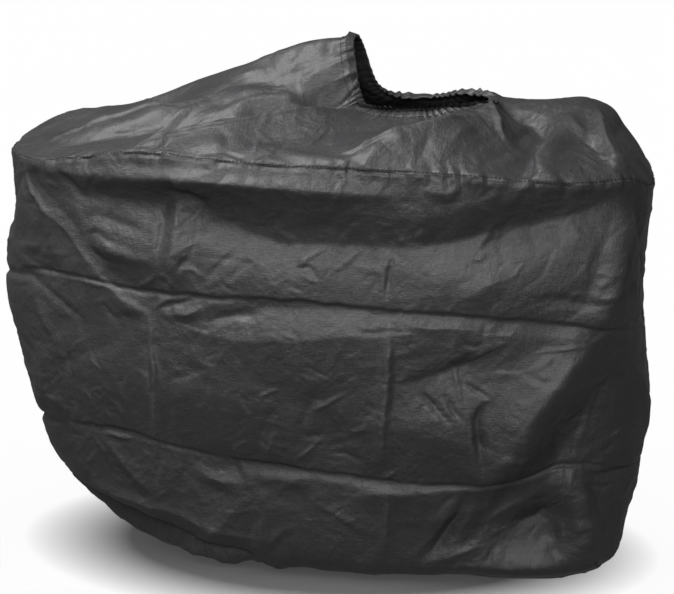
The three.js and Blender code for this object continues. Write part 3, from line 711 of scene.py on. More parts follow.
# ---- folds ----
def folds_of(rows):
    """The rows of each fold of a table, by name."""
    found = {}
    for row in rows:
        found.setdefault(row["fold"], []).append(row)
    return found


def fold_relief(folds, across, along, u, v, reach, profile):
    """How far folds stand out at points of a plane. The stretches of one fold don't add up."""
    u, v = u.ravel(), v.ravel()
    total = np.zeros(len(u))
    for rows in folds.values():
        strongest = np.zeros(len(u))
        for a, b in zip(rows, rows[1:]):
            du, dv = b[across] - a[across], b[along] - a[along]
            far = reach(a, b)
            near = np.nonzero((np.abs(u - (a[across] + b[across]) / 2) < abs(du) / 2 + far)
                              & (np.abs(v - (a[along] + b[along]) / 2) < abs(dv) / 2 + far))[0]
            if not len(near):
                continue
            pu, pv = u[near] - a[across], v[near] - a[along]
            t = np.clip((pu * du + pv * dv) / max(du * du + dv * dv, TINY), 0, 1)
            away = np.hypot(pu - t * du, pv - t * dv)
            out = profile(a, b, t, away, du * pv - dv * pu > 0)
            stronger = np.abs(out) > np.abs(strongest[near])
            strongest[near[stronger]] = out[stronger]
        total += strongest
    return total


def broad(folds, across, along, u, v):
    """Broad folds, which fade out to both sides of their lines."""
    def profile(a, b, t, away, left):
        width = a["width"] + (b["width"] - a["width"]) * t
        return (a["out"] + (b["out"] - a["out"]) * t) * np.exp(-((away / width) ** FOLD_SHARPNESS))

    def reach(a, b):
        return FOLD_REACH * max(a["width"], b["width"])

    return fold_relief(folds, across, along, u, v, reach, profile)


def crisp(lines, across, along, u, v):
    """Creases with nearly flat flanks, as wide to each side as their tables say."""
    def profile(a, b, t, away, left):
        wide_left = a["left"] + (b["left"] - a["left"]) * t
        wide_right = a["right"] + (b["right"] - a["right"]) * t
        rest = np.clip(1 - away / np.where(left, wide_left, wide_right), 0, 1)
        return (a["out"] + (b["out"] - a["out"]) * t) * rest ** FLANK_CURVE

    def reach(a, b):
        return max(a["left"], a["right"], b["left"], b["right"])

    return fold_relief(lines, across, along, u, v, reach, profile)


def curved(lines, across, along, seed):
    """Creases as smooth curves through their points, which wander a little and run out at both ends."""
    rng = np.random.default_rng(seed)
    made = {}
    for number, crease in enumerate(lines):
        points = crease["points"]
        steps = CREASE_STEPS * (len(points) - 1)
        place = np.linspace(0, len(points) - 1, steps + 1)
        path = smooth_rows(points, place)
        run = np.concatenate([[0], np.cumsum(np.linalg.norm(np.diff(path, axis=0), axis=1))])
        to_end = np.minimum(run, run[-1] - run)
        share = np.clip(to_end / min(RUN_OUT, RUN_OUT_SHARE * run[-1]), 0, 1)
        uneven = 1 + UNEVENNESS * smooth_rows(rng.uniform(-1, 1, (len(points), 1)), place)[:, 0]
        path[1:-1] += rng.normal(0, WANDER, (steps - 1, 2))
        made[number] = [
            {across: at[0], along: at[1], "out": crease["out"] * s * n, "left": crease["left"] * n,
             "right": crease["right"] * n} for at, s, n in zip(path, share, uneven)]
    return made


# ---- crumples ----
def crumple_net(low, high, net, seed):
    """Small creases that meet at the uneven corners of a net, over a plane from one corner to the other."""
    rng = np.random.default_rng(seed)
    spacing = net["spacing"]
    wide, tall = (math.ceil((h - l) / spacing) + 1 for l, h in zip(low, high))
    corner = np.array(low) + spacing * (np.stack(np.mgrid[0:wide, 0:tall], -1)
                                        + rng.uniform(-NET_UNEVENNESS, NET_UNEVENNESS, (wide, tall, 2)))
    rough = rng.uniform(0, 1, (wide // ROUGH_PATCH + 2, tall // ROUGH_PATCH + 2))
    made = []
    for i in range(wide - 1):
        for j in range(tall - 1):
            share = CALMEST + (1 - CALMEST) * rough[i // ROUGH_PATCH, j // ROUGH_PATCH]
            for to in ((i + 1, j), (i, j + 1), (i + 1, j + 1)):
                chance, size, side = rng.random(), rng.uniform(*NET_SHARES), rng.choice((-1, 1))
                left, right = rng.uniform(*NET_SHARES, 2) * net["flank"]
                if chance > net["chance"]:
                    continue
                middle = (corner[i, j] + corner[to]) / 2 + rng.normal(0, NET_WANDER * spacing, 2)
                made.append({"out": side * size * share * net["out"], "left": left, "right": right,
                             "points": np.array([corner[i, j], middle, corner[to]])})
    return made


def facets(shape, spacing, seed):
    """A relief of flat facets between random points, from -1 to 1, that closes round in the columns."""
    rows, cols = shape
    rng = np.random.default_rng(seed)
    high, wide = spacing
    count = max(3, round(cols / wide))
    wide = cols / count
    levels = math.ceil(rows / high) + 2
    jitter = rng.uniform(-FACET_UNEVENNESS, FACET_UNEVENNESS, (levels, count, 2))
    value = rng.uniform(-1, 1, (levels, count))
    relief = np.zeros(shape)

    def corner(i, j):
        k = j % count
        up, along = jitter[i, k]
        return (i - 0.5 + up) * high, (j + 0.5 * (i % 2) + along) * wide, value[i, k]

    for i in range(levels - 1):
        for j in range(count):
            a, b, c, d = corner(i, j), corner(i, j + 1), corner(i + 1, j), corner(i + 1, j + 1)
            pairs = ((a, b, c), (b, d, c)) if i % 2 == 0 else ((a, d, c), (a, b, d))
            for p, q, r in pairs:
                r0, r1 = math.floor(min(p[0], q[0], r[0])), math.ceil(max(p[0], q[0], r[0]))
                r0, r1 = max(r0, 0), min(r1, rows - 1)
                c0, c1 = math.floor(min(p[1], q[1], r[1])), math.ceil(max(p[1], q[1], r[1]))
                if r1 < r0:
                    continue
                y, x = np.mgrid[r0:r1 + 1, c0:c1 + 1]
                span = (q[0] - r[0]) * (p[1] - r[1]) + (r[1] - q[1]) * (p[0] - r[0])
                wp = ((q[0] - r[0]) * (x - r[1]) + (r[1] - q[1]) * (y - r[0])) / span
                wq = ((r[0] - p[0]) * (x - r[1]) + (p[1] - r[1]) * (y - r[0])) / span
                wr = 1 - wp - wq
                inside = (wp >= -TINY) & (wq >= -TINY) & (wr >= -TINY)
                relief[y[inside], x[inside] % cols] = (wp * p[2] + wq * q[2] + wr * r[2])[inside]
    return relief


def nets(area, seed):
    """The creases of all the nets over an area."""
    return [crease for k, net in enumerate(CRUMPLE_NETS)
            for crease in crumple_net(*area, net, seed + NET_SEED_STEP * k)]


def ring_noise(count, spacing, seed):
    """Random values from -1 to 1 along the ring, at uneven steps of about spacing columns."""
    rng = np.random.default_rng(seed)
    stops = np.cumsum(rng.uniform(*NOISE_STEPS, int(count / spacing) + 1))
    stops = stops / stops[-1] * count
    values = rng.uniform(-1, 1, len(stops))
    return np.interp(np.arange(count), stops, values, period=count)


# ---- the cloth ----
def ring_angles(section):
    """The angles of every column of one section, evenly spaced along the cloth of each panel."""
    found = []
    for panel, after in zip(PANELS, PANELS[1:] + [{"start": PANELS[0]["start"] + FULL_TURN}]):
        angle = np.linspace(panel["start"], after["start"], ANGLE_STOPS)
        step = np.linalg.norm(np.diff(oval(angle, PLAN_CENTRE_X, *section), axis=0), axis=1)
        length = np.concatenate([[0], np.cumsum(step)])
        count = int(panel["columns"])
        found.append(np.interp(length[-1] * np.arange(count) / count, length, angle))
    return np.concatenate(found)


def wall_grid():
    """The wall without its folds: rows from the hem's rim to the top seam, of one point for each column."""
    counts = [int(level["rows"]) for level in WALL_LEVELS]
    place = np.concatenate([[0]] + [i + np.arange(1, n + 1) / n for i, n in enumerate(counts) if n])
    names = ("height", "left", "right", "front", "back", "square_left", "square_right")
    sections = smooth_rows(columns(WALL_LEVELS, *names), place)
    top = len(WALL_LEVELS) - 1
    free = np.maximum(0, (place - SEAM_FREE_FROM) / (top - SEAM_FREE_FROM))
    rows = []
    for section, share in zip(sections, free):
        angle = ring_angles(section[1:])
        plan = oval(angle, PLAN_CENTRE_X, *section[1:])
        height = section[0] + at_angles(SEAM_RISE, "rise", angle) * share * share
        rows.append(np.column_stack([plan, height]))
    return np.array(rows)


def wall_stand(grid, kind, front, back, right, left):
    """How far the folds of the four sides stand out at each point of the wall."""
    x, y, z = grid[..., 0].ravel(), grid[..., 1].ravel(), grid[..., 2].ravel()
    out = np.zeros(len(x))
    side, end = smoothstep(np.abs(y), *SIDE_FADE), smoothstep(np.abs(x), *END_FADE)
    for folds, across, share, here in (
        (front, x, side, y < 0), (back, x, side, y >= 0), (right, y, end, x >= 0), (left, y, end, x < 0),
    ):
        pick = np.nonzero(here & (share > 0))[0]
        out[pick] += share[pick] * kind(folds, "along", "height", across[pick], z[pick])
    return out.reshape(grid.shape[:2])


def rim_points(angle):
    """The rim of the opening at angles in degrees."""
    o = OPENING
    plan = oval(angle, o["centre"], o["centre"] - o["half_length"], o["centre"] + o["half_length"],
                -o["half_width"], o["half_width"], o["square_left"], o["square_right"])
    return np.column_stack([plan, at_angles(RIM_HEIGHTS, "height", angle)])


def straight_top(seam_row):
    """The top panel's rows from the seam to the opening, along straight lines."""
    seam = WALL_LEVELS[-1]
    across = seam_row[:, 1] / np.where(seam_row[:, 1] < 0, -seam["front"], seam["back"])
    ahead = (seam_row[:, 0] - OPENING["centre"]) / seam["right"]
    angle = np.degrees(np.arctan2(across, ahead)) % FULL_TURN
    rows = TOP_ROWS // COARSE
    share = (np.arange(rows + 1) / rows)[:, None, None] ** TOP_ROW_CROWDING
    return seam_row[None] * (1 - share) + rim_points(angle)[None] * share


def pinned(grid):
    """The grid's heights with the top panel's folds set in them, and where they are held."""
    x, y, height = grid[..., 0], grid[..., 1], grid[..., 2].copy()
    flat = grid[..., :2]
    step = np.maximum(np.linalg.norm(np.roll(flat, -1, 1) - flat, axis=-1),
                      np.linalg.norm(np.diff(flat, axis=0, append=flat[-1:]), axis=-1))
    nearest = LINE_REACH * step
    held = np.zeros(x.shape, bool)
    held[[0, -1]] = True
    for rows in folds_of(TOP_FOLDS).values():
        for a, b in zip(rows, rows[1:]):
            du, dv = b["x"] - a["x"], b["y"] - a["y"]
            t = np.clip(((x - a["x"]) * du + (y - a["y"]) * dv) / (du * du + dv * dv), 0, 1)
            away = np.hypot(x - a["x"] - t * du, y - a["y"] - t * dv)
            on = away < nearest
            on[[0, -1]] = False
            height[on] = (a["height"] + (b["height"] - a["height"]) * t)[on]
            nearest = np.where(on, away, nearest)
            held |= on
    return height, held


def relaxed(height, held):
    """Heights drawn taut between those that are held."""
    parity = np.add.outer(np.arange(height.shape[0]), np.arange(height.shape[1])) % 2
    for _ in range(RELAX_PASSES):
        for colour in (0, 1):
            mean = height.copy()
            mean[1:-1] = (np.roll(height, 1, 1)[1:-1] + np.roll(height, -1, 1)[1:-1]
                          + height[:-2] + height[2:]) / 4
            height += np.where((parity == colour) & ~held, OVER_RELAX * (mean - height), 0)
    return height


def refined(grid):
    """A coarse grid on the fine rows and columns, on smooth curves both ways."""
    place = np.arange(TOP_ROWS + 1) / COARSE
    fine = smooth_rows(grid.reshape(len(grid), -1), place).reshape(TOP_ROWS + 1, -1, 3)
    count = fine.shape[1]
    wrapped = np.concatenate([fine[:, -1:], fine, fine[:, :2]], 1).transpose(1, 0, 2)
    around = smooth_rows(wrapped.reshape(count + 3, -1), 1 + np.arange(count * COARSE) / COARSE)
    return around.reshape(count * COARSE, TOP_ROWS + 1, 3).transpose(1, 0, 2)


def taut_top(seam_row):
    """The top panel from the seam to the opening, drawn taut between its folds."""
    grid = straight_top(seam_row[::COARSE])
    grid[1:-1, :, 2] = blurred(relaxed(*pinned(grid)), TOP_SOFTENING)[1:-1]
    return refined(grid)[:, :len(seam_row)]


def seam_puckers(distance):
    """Small gathers across a seam, at distances from it, and the roll of cloth beside its groove."""
    p, seed, count = PUCKERS, SEEDS["puckers"], distance.shape[1]
    uneven = p["even"] + p["uneven"] * ring_noise(count, p["size_patch"], seed + 1)
    size = ring_noise(count, p["columns"], seed) * uneven
    fade = p["fade"] + p["fade_varies"] * ring_noise(count, p["fade_patch"], seed + 2)
    roll = SEAM_ROLL["out"] * np.exp(-(((distance - SEAM_ROLL["distance"]) / SEAM_ROLL["width"]) ** 2))
    groove = SEAM_GROOVE["depth"] * np.exp(-((distance / SEAM_GROOVE["width"]) ** 2))
    return p["size"] * size * np.exp(-((distance / fade) ** p["fall"])) + (roll - groove)


def hem_gathers(distance):
    """The gathers of the opening's hem and the channel that they run over, at distances from its edge."""
    g, count = GATHERS, distance.shape[1]
    phase = np.cumsum(1 + g["uneven"] * ring_noise(count, g["patch"], SEEDS["gather_steps"]))
    phase *= np.round(phase[-1] / g["columns"]) / phase[-1]
    size = g["size"] + g["size_varies"] * ring_noise(count, g["size_patch"], SEEDS["gather_size"])
    gathers = (1 - g["groove"] * np.abs(np.sin(np.pi * phase))) * size
    reach = g["reach"] + g["reach_varies"] * ring_noise(count, g["reach_patch"], SEEDS["gather_reach"])
    middle = CHANNEL / 2
    channel = np.sqrt(np.clip(1 - ((distance - middle) / middle) ** 2, 0, 1))
    return g["depth"] * gathers * np.exp(-((distance / reach) ** g["fall"])) + CHANNEL_DEPTH * channel


def distances(grid, from_last):
    """How far each point lies along its column from the first row, or from the last."""
    step = np.linalg.norm(np.diff(grid, axis=0), axis=-1)
    run = np.concatenate([np.zeros((1, step.shape[1])), np.cumsum(step, 0)])
    return run[-1] - run if from_last else run


def crumpled_relief(shape):
    """Random facets over the whole cloth, which is calmer in some areas than in others."""
    calm = 0.5 + 0.5 * blurred(facets(shape, CALM_SPACING, SEEDS["calm"]), CALM_SOFTENING)
    relief = np.zeros(shape)
    up, along = FACET_STRETCH
    for spacing, size, seed, passes in CRUMPLES:
        relief += size * blurred(facets(shape, (spacing * up, spacing * along), seed), passes)
    return relief * calm


def creased_relief(wall, top):
    """The creases of the wall, and then those of the top panel above its first row."""
    sides = ((FRONT_CREASES, SIDE_AREA), (BACK_CREASES, SIDE_AREA), (RIGHT_END_CREASES, END_AREA),
             (LEFT_END_CREASES, END_AREA))
    lines = [curved(rows + nets(area, SEEDS["wall_nets"] + k), "along", "height", SEEDS["wall_creases"] + k)
             for k, (rows, area) in enumerate(sides)]
    on_wall = wall_stand(wall, crisp, *lines)
    over_top = curved(TOP_CREASES + nets(TOP_AREA, SEEDS["top_nets"]), "x", "y", SEEDS["top_creases"])
    on_top = crisp(over_top, "x", "y", top[..., 0], top[..., 1]).reshape(top.shape[:2])
    return np.concatenate([on_wall, on_top[1:]])


def cloth():
    """The finished cloth and its creases: the wall's grid, the top panel's, whose first row is the wall's
    last, and how far the creases stand out on both."""
    wall = wall_grid()
    folds = [folds_of(rows) for rows in (FRONT_FOLDS, BACK_FOLDS, RIGHT_END_FOLDS, LEFT_END_FOLDS)]
    stand = blurred(wall_stand(wall, broad, *folds), FOLD_SOFTENING)
    wall = wall + outwards(wall) * stand[..., None]
    top = taut_top(wall[-1])
    top[0] = wall[-1]
    # Crumples and creases lie on the broad folds.
    ring = np.concatenate([wall, top[1:]])
    seam_at = len(wall) - 1
    creased = creased_relief(wall, top)
    relief = crumpled_relief(ring.shape[:2]) + creased
    from_hem = distances(top, True)
    least, more = RIM_SHARES
    relief[seam_at:] *= smoothstep(from_hem, *RIM_CALM) * more + least
    relief += np.concatenate([seam_puckers(distances(wall, True)), seam_puckers(distances(top, False))[1:]])
    relief[seam_at:] += hem_gathers(from_hem)
    ring = ring + outwards(ring) * relief[..., None]
    wall, top = ring[:seam_at + 1], ring[seam_at:]
    return turned_edge(wall[::-1])[::-1], turned_edge(top), creased


def turned_edge(grid):
    """The grid with its last row turned in and back on itself, as a hem is."""
    out = outwards(grid)[-1]
    on = grid[-1] - grid[-2]
    on /= np.linalg.norm(on, axis=1, keepdims=True)
    out -= on * np.sum(out * on, axis=1, keepdims=True)
    out /= np.linalg.norm(out, axis=1, keepdims=True)
    inwards = np.sign(np.sum(out * (grid[-1] - grid[-1].mean(0)) * (1, 1, 0), axis=1).mean())
    turns = np.radians(np.linspace(0, HEM_TURN, HEM_ROWS + 1)[1:])
    centre = grid[-1] - out * HEM_RADIUS * inwards
    rows = [centre + HEM_RADIUS * (out * inwards * np.cos(a) + on * np.sin(a)) for a in turns]
    rows.append(rows[-1] - on * HEM_BACK)
    return np.concatenate([grid, rows])


# ---- meshes ----
def mesh_object(name, points, faces, uv=None):
    """An object in metres in the part's frame, from points in the millimetres of the tables."""
    made = bpy.data.meshes.new(name)
    places = (points - np.array([0, 0, CARRY_HEIGHT])) * MM
    made.from_pydata(places.tolist(), [], faces)
    if uv is not None:
        layer = made.uv_layers.new(name="cloth")
        loops = np.empty(len(made.loops), int)
        made.loops.foreach_get("vertex_index", loops)
        layer.data.foreach_set("uv", uv[loops].astype(np.float32).ravel())
    made.polygons.foreach_set("use_smooth", np.ones(len(made.polygons), bool))
    made.update()
    obj = bpy.data.objects.new(name, made)
    bpy.context.scene.collection.objects.link(obj)
    return obj


def laid_flat(grid):
    """Where each point of a wall's cloth lies when it is flat, in millimetres."""
    middle = grid[len(grid) // 2]
    step = np.linalg.norm(np.diff(middle, axis=0), axis=-1)
    along = np.concatenate([[0], np.cumsum(step)])
    up = distances(grid, False)
    return np.stack([np.broadcast_to(along, up.shape), up], -1)


def sheet_object(name, grid, closed, flat):
    """A sheet of cloth from its grid of points, with a UV map in metres of cloth."""
    rows, count = grid.shape[:2]
    points = grid.reshape(-1, 3)
    r, c = np.mgrid[0:rows - 1, 0:count if closed else count - 1]
    after = (c + 1) % count
    faces = np.stack([r * count + c, r * count + after, (r + 1) * count + after, (r + 1) * count + c], -1)
    return mesh_object(name, points, faces.reshape(-1, 4).tolist(), flat.reshape(-1, 2) * MM)


@functools.lru_cache(maxsize=None)
def draped():
    """The cloth, worked out once for all its pieces."""
    return cloth()


# ---- stitches ----
def stitch_line(grid, distance, from_last):
    """The starts and ends of stitches round the ring, at a distance from its first or last row."""
    lifted = grid + outwards(grid) * STITCH_LIFT
    run = distances(grid, from_last)
    if from_last:
        lifted, run = lifted[::-1], run[::-1]
    line = np.array([[np.interp(distance, run[:, c], lifted[:, c, k]) for k in range(3)]
                     for c in range(run.shape[1])])
    closed = np.concatenate([line, line[:1]])
    run = np.concatenate([[0], np.cumsum(np.linalg.norm(np.diff(closed, axis=0), axis=1))])
    count = int(run[-1] / STITCH_PITCH)
    at = np.arange(count) * run[-1] / count
    start = np.stack([np.interp(at, run, closed[:, k]) for k in range(3)], -1)
    end = np.stack([np.interp(at + STITCH_LENGTH, run, closed[:, k]) for k in range(3)], -1)
    return start, end


def stitches(name, lines):
    """Short round stitches of thread as one mesh."""
    start = np.concatenate([line[0] for line in lines])
    end = np.concatenate([line[1] for line in lines])
    way = (end - start) / np.linalg.norm(end - start, axis=1, keepdims=True)
    side = np.cross(way, [0, 0, 1.0])
    side /= np.maximum(np.linalg.norm(side, axis=1, keepdims=True), TINY)
    up = np.cross(side, way)
    rings, sides = STITCH_RINGS, STITCH_SIDES
    turn = 2 * np.pi * np.arange(sides) / sides
    round_it = np.cos(turn)[None, :, None] * side[:, None] + np.sin(turn)[None, :, None] * up[:, None]
    points = np.stack([start[:, None] + (end - start)[:, None] * along + THREAD_RADIUS * size * round_it
                       for along, size in rings], 1)
    count = len(start)
    base = np.arange(count)[:, None, None] * len(rings) * sides
    ring, k = np.mgrid[0:len(rings) - 1, 0:sides]
    ring, k = ring.ravel()[None], k.ravel()[None]
    after = (k + 1) % sides
    here, there = ring * sides, (ring + 1) * sides
    quads = np.stack([here + k, there + k, there + after, here + after], -1)
    faces = (quads + base).reshape(-1, 4).tolist()
    last = (len(rings) - 1) * sides
    for b in base.ravel():
        faces.append([int(b + i) for i in range(sides)])
        faces.append([int(b + last + i) for i in reversed(range(sides))])
    return mesh_object(name, points.reshape(-1, 3), faces)


# ---- shader maths ----
class Number:
    """A socket that carries a number, which adds its Math nodes when it is written in a sum."""

    def __init__(self, shader, socket):
        self.shader, self.socket = shader, socket

    def maths(self, operation, *others, clamp=False):
        """The outcome of a Math node on this number and others."""
        inputs = dict(enumerate((self, *others)))
        node = self.shader.node("ShaderNodeMath", {"operation": operation, "use_clamp": clamp}, inputs)
        return Number(self.shader, node.outputs[0])

    def __add__(self, other):
        return self.maths("ADD", other)

    def __mul__(self, other):
        return self.maths("MULTIPLY", other)

    def __sub__(self, other):
        return self.maths("SUBTRACT", other)

    def __rsub__(self, other):
        return (self * -1) + other

    __radd__ = __add__
    __rmul__ = __mul__

    def sine(self):
        return self.maths("SINE")

    def between(self, low, high):
        """0 below low, 1 above high, and straight between them."""
        return self.maths("SUBTRACT", low).maths("MULTIPLY", 1 / (high - low), clamp=True)


class Shader:
    """A material whose nodes are added one call at a time."""

    def __init__(self, name):
        self.material = bpy.data.materials.new(name)
        self.material.use_nodes = True
        self.tree = self.material.node_tree
        self.tree.nodes.clear()

    def node(self, kind, settings=None, inputs=None):
        """Adds a node, makes its settings, and then sets or links its sockets."""
        made = self.tree.nodes.new(kind)
        for name, value in (settings or {}).items():
            setattr(made, name, value)
        for name, value in (inputs or {}).items():
            if isinstance(value, Number):
                value = value.socket
            if isinstance(value, bpy.types.NodeSocket):
                self.tree.links.new(value, made.inputs[name])
            else:
                made.inputs[name].default_value = value
        return made

    def number(self, node, output=0):
        return Number(self, node.outputs[output])

    def noise(self, vector, scale, detail=2.0, roughness=0.5):
        node = self.node("ShaderNodeTexNoise", {"noise_dimensions": "3D"},
                         {"Vector": vector, "Scale": scale, "Detail": detail, "Roughness": roughness})
        return self.number(node)

    def cells(self, vector, scale):
        """The distance to the nearest of scattered points."""
        inputs = {"Vector": vector, "Scale": scale}
        return self.number(self.node("ShaderNodeTexVoronoi", {"feature": "F1"}, inputs))

    def scaled(self, vector, factors):
        node = self.node("ShaderNodeVectorMath", {"operation": "MULTIPLY"}, {0: vector, 1: factors})
        return node.outputs[0]

    def mixed(self, share, first, second):
        """One colour turning into another as share goes from 0 to 1."""
        inputs = {0: share, 6: (*first, 1), 7: (*second, 1)}
        return self.node("ShaderNodeMix", {"data_type": "RGBA"}, inputs).outputs[2]

    def bump(self, height, distance, strength, normal=None):
        inputs = {"Height": height, "Distance": distance, "Strength": strength}
        if normal is not None:
            inputs["Normal"] = normal
        return self.node("ShaderNodeBump", None, inputs).outputs[0]

    def finish(self, inputs):
        surface = self.node("ShaderNodeBsdfPrincipled", None, inputs)
        self.node("ShaderNodeOutputMaterial", None, {"Surface": surface.outputs[0]})
        return self.material


def nylon_material(look):
    """Coated nylon: its weave, slubs, crinkles and dents, worn paler and rougher on its creases."""
    s = Shader("crinkled_nylon")
    uv = s.node("ShaderNodeUVMap", {"uv_map": "cloth"}).outputs[0]
    parts = s.node("ShaderNodeSeparateXYZ", None, {0: uv})
    turns = 2 * math.pi / look.thread_pitch
    weave = (s.number(parts, 0) * turns).sine() * (s.number(parts, 1) * turns).sine()
    place = s.node("ShaderNodeTexCoord").outputs["Object"]
    across, along = SLUB_SCALES
    slubs = (s.noise(s.scaled(place, (across, along, along)), 1)
             + s.noise(s.scaled(place, (along, across, across)), 1))
    crinkle = s.noise(place, CRINKLE_SCALE, 5, 0.62)
    dents = s.cells(place, DENT_SCALES[0]) * 0.5 + s.cells(place, DENT_SCALES[1]) * 0.25
    patches = s.noise(place, PATCH_SCALE, 2)
    edge = s.number(s.node("ShaderNodeAttribute", {"attribute_name": "edge"}), 2)
    worn = (edge * WORN["edge"] + (patches - 0.5) * WORN["patches"] + (slubs - 1) * WORN["slubs"]
            + WORN["least"]).maths("MULTIPLY", 1, clamp=True)
    pale = tuple(min(1, c * WORN_SHARE) for c in look.colour)
    fine = s.bump(weave, look.thread_pitch * 0.25, 0.25)
    fine = s.bump(slubs, look.slub, 1, fine)
    rough = patches.between(0.35, 0.65) * 0.7 + 0.3
    fine = s.bump((crinkle * 1.3 + dents) * rough, look.crinkle, 1, fine)
    matt = look.roughness + (patches - 0.5) * MATT["patches"] + edge * MATT["edge"]
    return s.finish({
        "Base Color": s.mixed(worn, look.colour, pale),
        "Roughness": matt + (slubs - 1) * MATT["slubs"],
        "Specular IOR Level": look.specular,
        "Coat Weight": GLAZE,
        "Coat Roughness": GLAZE_ROUGHNESS,
        "Normal": fine,
    })


def thread_material(look):
    """Twisted thread, with painted shade that makes it a little darker than the cloth in the hollows of its
    twist.
    """
    s = Shader("black_thread")
    place = s.node("ShaderNodeTexCoord").outputs["Object"]
    twist = s.node("ShaderNodeTexWave", {"wave_type": "BANDS", "bands_direction": "DIAGONAL"},
                   {"Vector": place, "Scale": 900, "Distortion": 1.0})
    twisted = s.number(twist, 1)
    # painted shade: the hollows of the twist take half the cloth's colour
    twist_shade = tuple(c * 0.5 for c in look.colour)
    return s.finish({
        "Base Color": s.mixed(twisted, twist_shade, look.colour),
        "Roughness": 0.75 + twisted * 0.1,
        "Normal": s.bump(twisted, 0.0002, 0.5),
    })


def floor_material(stage):
    """A pale floor with light of its own, which fades to a painted shadow in an oval under the cover."""
    s = Shader("pale_floor")
    place = s.node("ShaderNodeTexCoord").outputs["Object"]
    cloudy = s.noise(place, 0.7, 2)
    # Painted shadow: the floor's own light fades to nearly nothing in an oval under the cover.
    shares = s.scaled(place, (1 / PAINTED_SHADOW_REACH[0], 1 / PAINTED_SHADOW_REACH[1], 0))
    parts = s.node("ShaderNodeSeparateXYZ", None, {0: shares})
    x, y = s.number(parts, 0), s.number(parts, 1)
    # clear is 0 in the painted shadow under the cover and 1 clear of it
    clear = (x * x + y * y).between(*PAINTED_SHADOW_FADE)
    return s.finish({
        "Base Color": s.mixed(cloudy, *FLOOR_COLOURS),
        "Roughness": 0.85 + (cloudy - 0.5) * 0.1,
        "Specular IOR Level": 0.1,
        "Emission Color": s.mixed(clear, *FLOOR_GLOW_AND_PAINTED_SHADOW),
        "Emission Strength": stage.floor_glow,
    })


# ---- the add-on ----
class CoverLook(bpy.types.PropertyGroup):
    colour: bpy.props.FloatVectorProperty(
        name="Cloth colour", description="Colour of the coated nylon", subtype="COLOR", size=3,
        min=0, max=1, default=frame["record"]["materials"][0]["base_color"])
    roughness: bpy.props.FloatProperty(
        name="Roughness", description="How matt the coating is", subtype="FACTOR", min=0, max=1,
        default=0.44)
    specular: bpy.props.FloatProperty(
        name="Gloss", description="Strength of the coating's reflection", subtype="FACTOR", min=0, max=1,
        default=0.5)
    thread_pitch: bpy.props.FloatProperty(
        name="Thread pitch", description="From one thread of the weave to the next but one",
        subtype="DISTANCE", unit="LENGTH", min=0.0002, max=0.004, default=0.0009)
    slub: bpy.props.FloatProperty(
        name="Slubs", description="Depth of the unevenness of the threads", subtype="DISTANCE",
        unit="LENGTH", min=0, max=0.003, default=0.0004)
    crinkle: bpy.props.FloatProperty(
        name="Crinkle", description="Depth of the finest crinkles", subtype="DISTANCE", unit="LENGTH",
        min=0, max=0.01, default=0.0018)


class CoverStage(bpy.types.PropertyGroup):
    top_power: bpy.props.FloatProperty(
        name="Top light", description="Power of the soft light above", subtype="POWER", unit="POWER",
        min=0, default=31)
    front_power: bpy.props.FloatProperty(
        name="Front light", description="Power of the soft light from the front", subtype="POWER",
        unit="POWER", min=0, default=29)
    back_power: bpy.props.FloatProperty(
        name="Back light", description="Power of the wide soft light behind", subtype="POWER",
        unit="POWER", min=0, default=9)
    sky: bpy.props.FloatProperty(
        name="Surroundings", description="Brightness of the pale surroundings", min=0, default=0.13)
    floor_glow: bpy.props.FloatProperty(
        name="Floor glow", description="How far the floor is lifted towards white", min=0, default=0.88)


def dressed(obj, node, material, edges):
    """Gives a sheet its worn edges and its material, and lets it stand for its solid."""
    layer = obj.data.attributes.new("edge", "FLOAT", "POINT")
    layer.data.foreach_set("value", edges.astype(np.float32).ravel())
    obj.data.materials.append(material)
    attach(obj, "root")
    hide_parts(node)
    return obj


def nylon():
    """The nylon that all the panels share."""
    return bpy.data.materials.get("crinkled_nylon") or nylon_material(bpy.context.scene.cover_look)


def worn_edges(creased):
    """How sharply the cloth is creased at each point, from 0 to 1."""
    bend = np.abs(np.roll(creased, 1, 1) + np.roll(creased, -1, 1) + np.roll(creased, 1, 0)
                  + np.roll(creased, -1, 0) - 4 * creased)
    return np.clip(blurred(bend, 1) / EDGE_BEND, 0, 1)


class COVER_OT_walls(bpy.types.Operator):
    """Build the front, back and end panels"""

    bl_idname = "cover.walls"
    bl_label = "Wall panels"

    def execute(self, context):
        wall, _, creased = draped()
        edges = np.pad(worn_edges(creased)[:wall.shape[0] - TURNED_ROWS], ((TURNED_ROWS, 0), (0, 0)))
        start = 0
        for panel in PANELS:
            name, count = panel["panel"], int(panel["columns"])
            pick = np.arange(start, start + count + 1) % wall.shape[1]
            start += count
            side = wall[:, pick]
            obj = sheet_object(name + "_cloth", side, False, laid_flat(side))
            dressed(obj, name, nylon(), edges[:, pick])
        return {"FINISHED"}


class COVER_OT_top(bpy.types.Operator):
    """Build the top panel with its gathered opening, and the stitching round its edges"""

    bl_idname = "cover.top"
    bl_label = "Top panel and stitching"

    def execute(self, context):
        wall, top, creased = draped()
        obj = sheet_object("top_panel_cloth", top, True, top[..., :2])
        edges = np.pad(worn_edges(creased)[wall.shape[0] - TURNED_ROWS - 1:], ((0, TURNED_ROWS), (0, 0)))
        dressed(obj, "top_panel", nylon(), edges)
        lines = [stitch_line(top[:-TURNED_ROWS], *line) for line in STITCH_LINES]
        thread = stitches("seam_stitching", lines)
        thread.data.materials.append(thread_material(context.scene.cover_look))
        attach(thread, "root")
        return {"FINISHED"}


def area_light(name, power, size, place, aim, lit):
    """A soft light of a size in metres that lights one collection."""
    data = bpy.data.lights.new(name, "AREA")
    data.shape, data.size, data.size_y, data.energy = "RECTANGLE", *size, power
    light = bpy.data.objects.new(name, data)
    bpy.context.scene.collection.objects.link(light)
    light.visible_camera = False
    light.light_linking.receiver_collection = lit
    light.location = place
    light.rotation_euler = (Vector(aim) - Vector(place)).to_track_quat("-Z", "Y").to_euler()


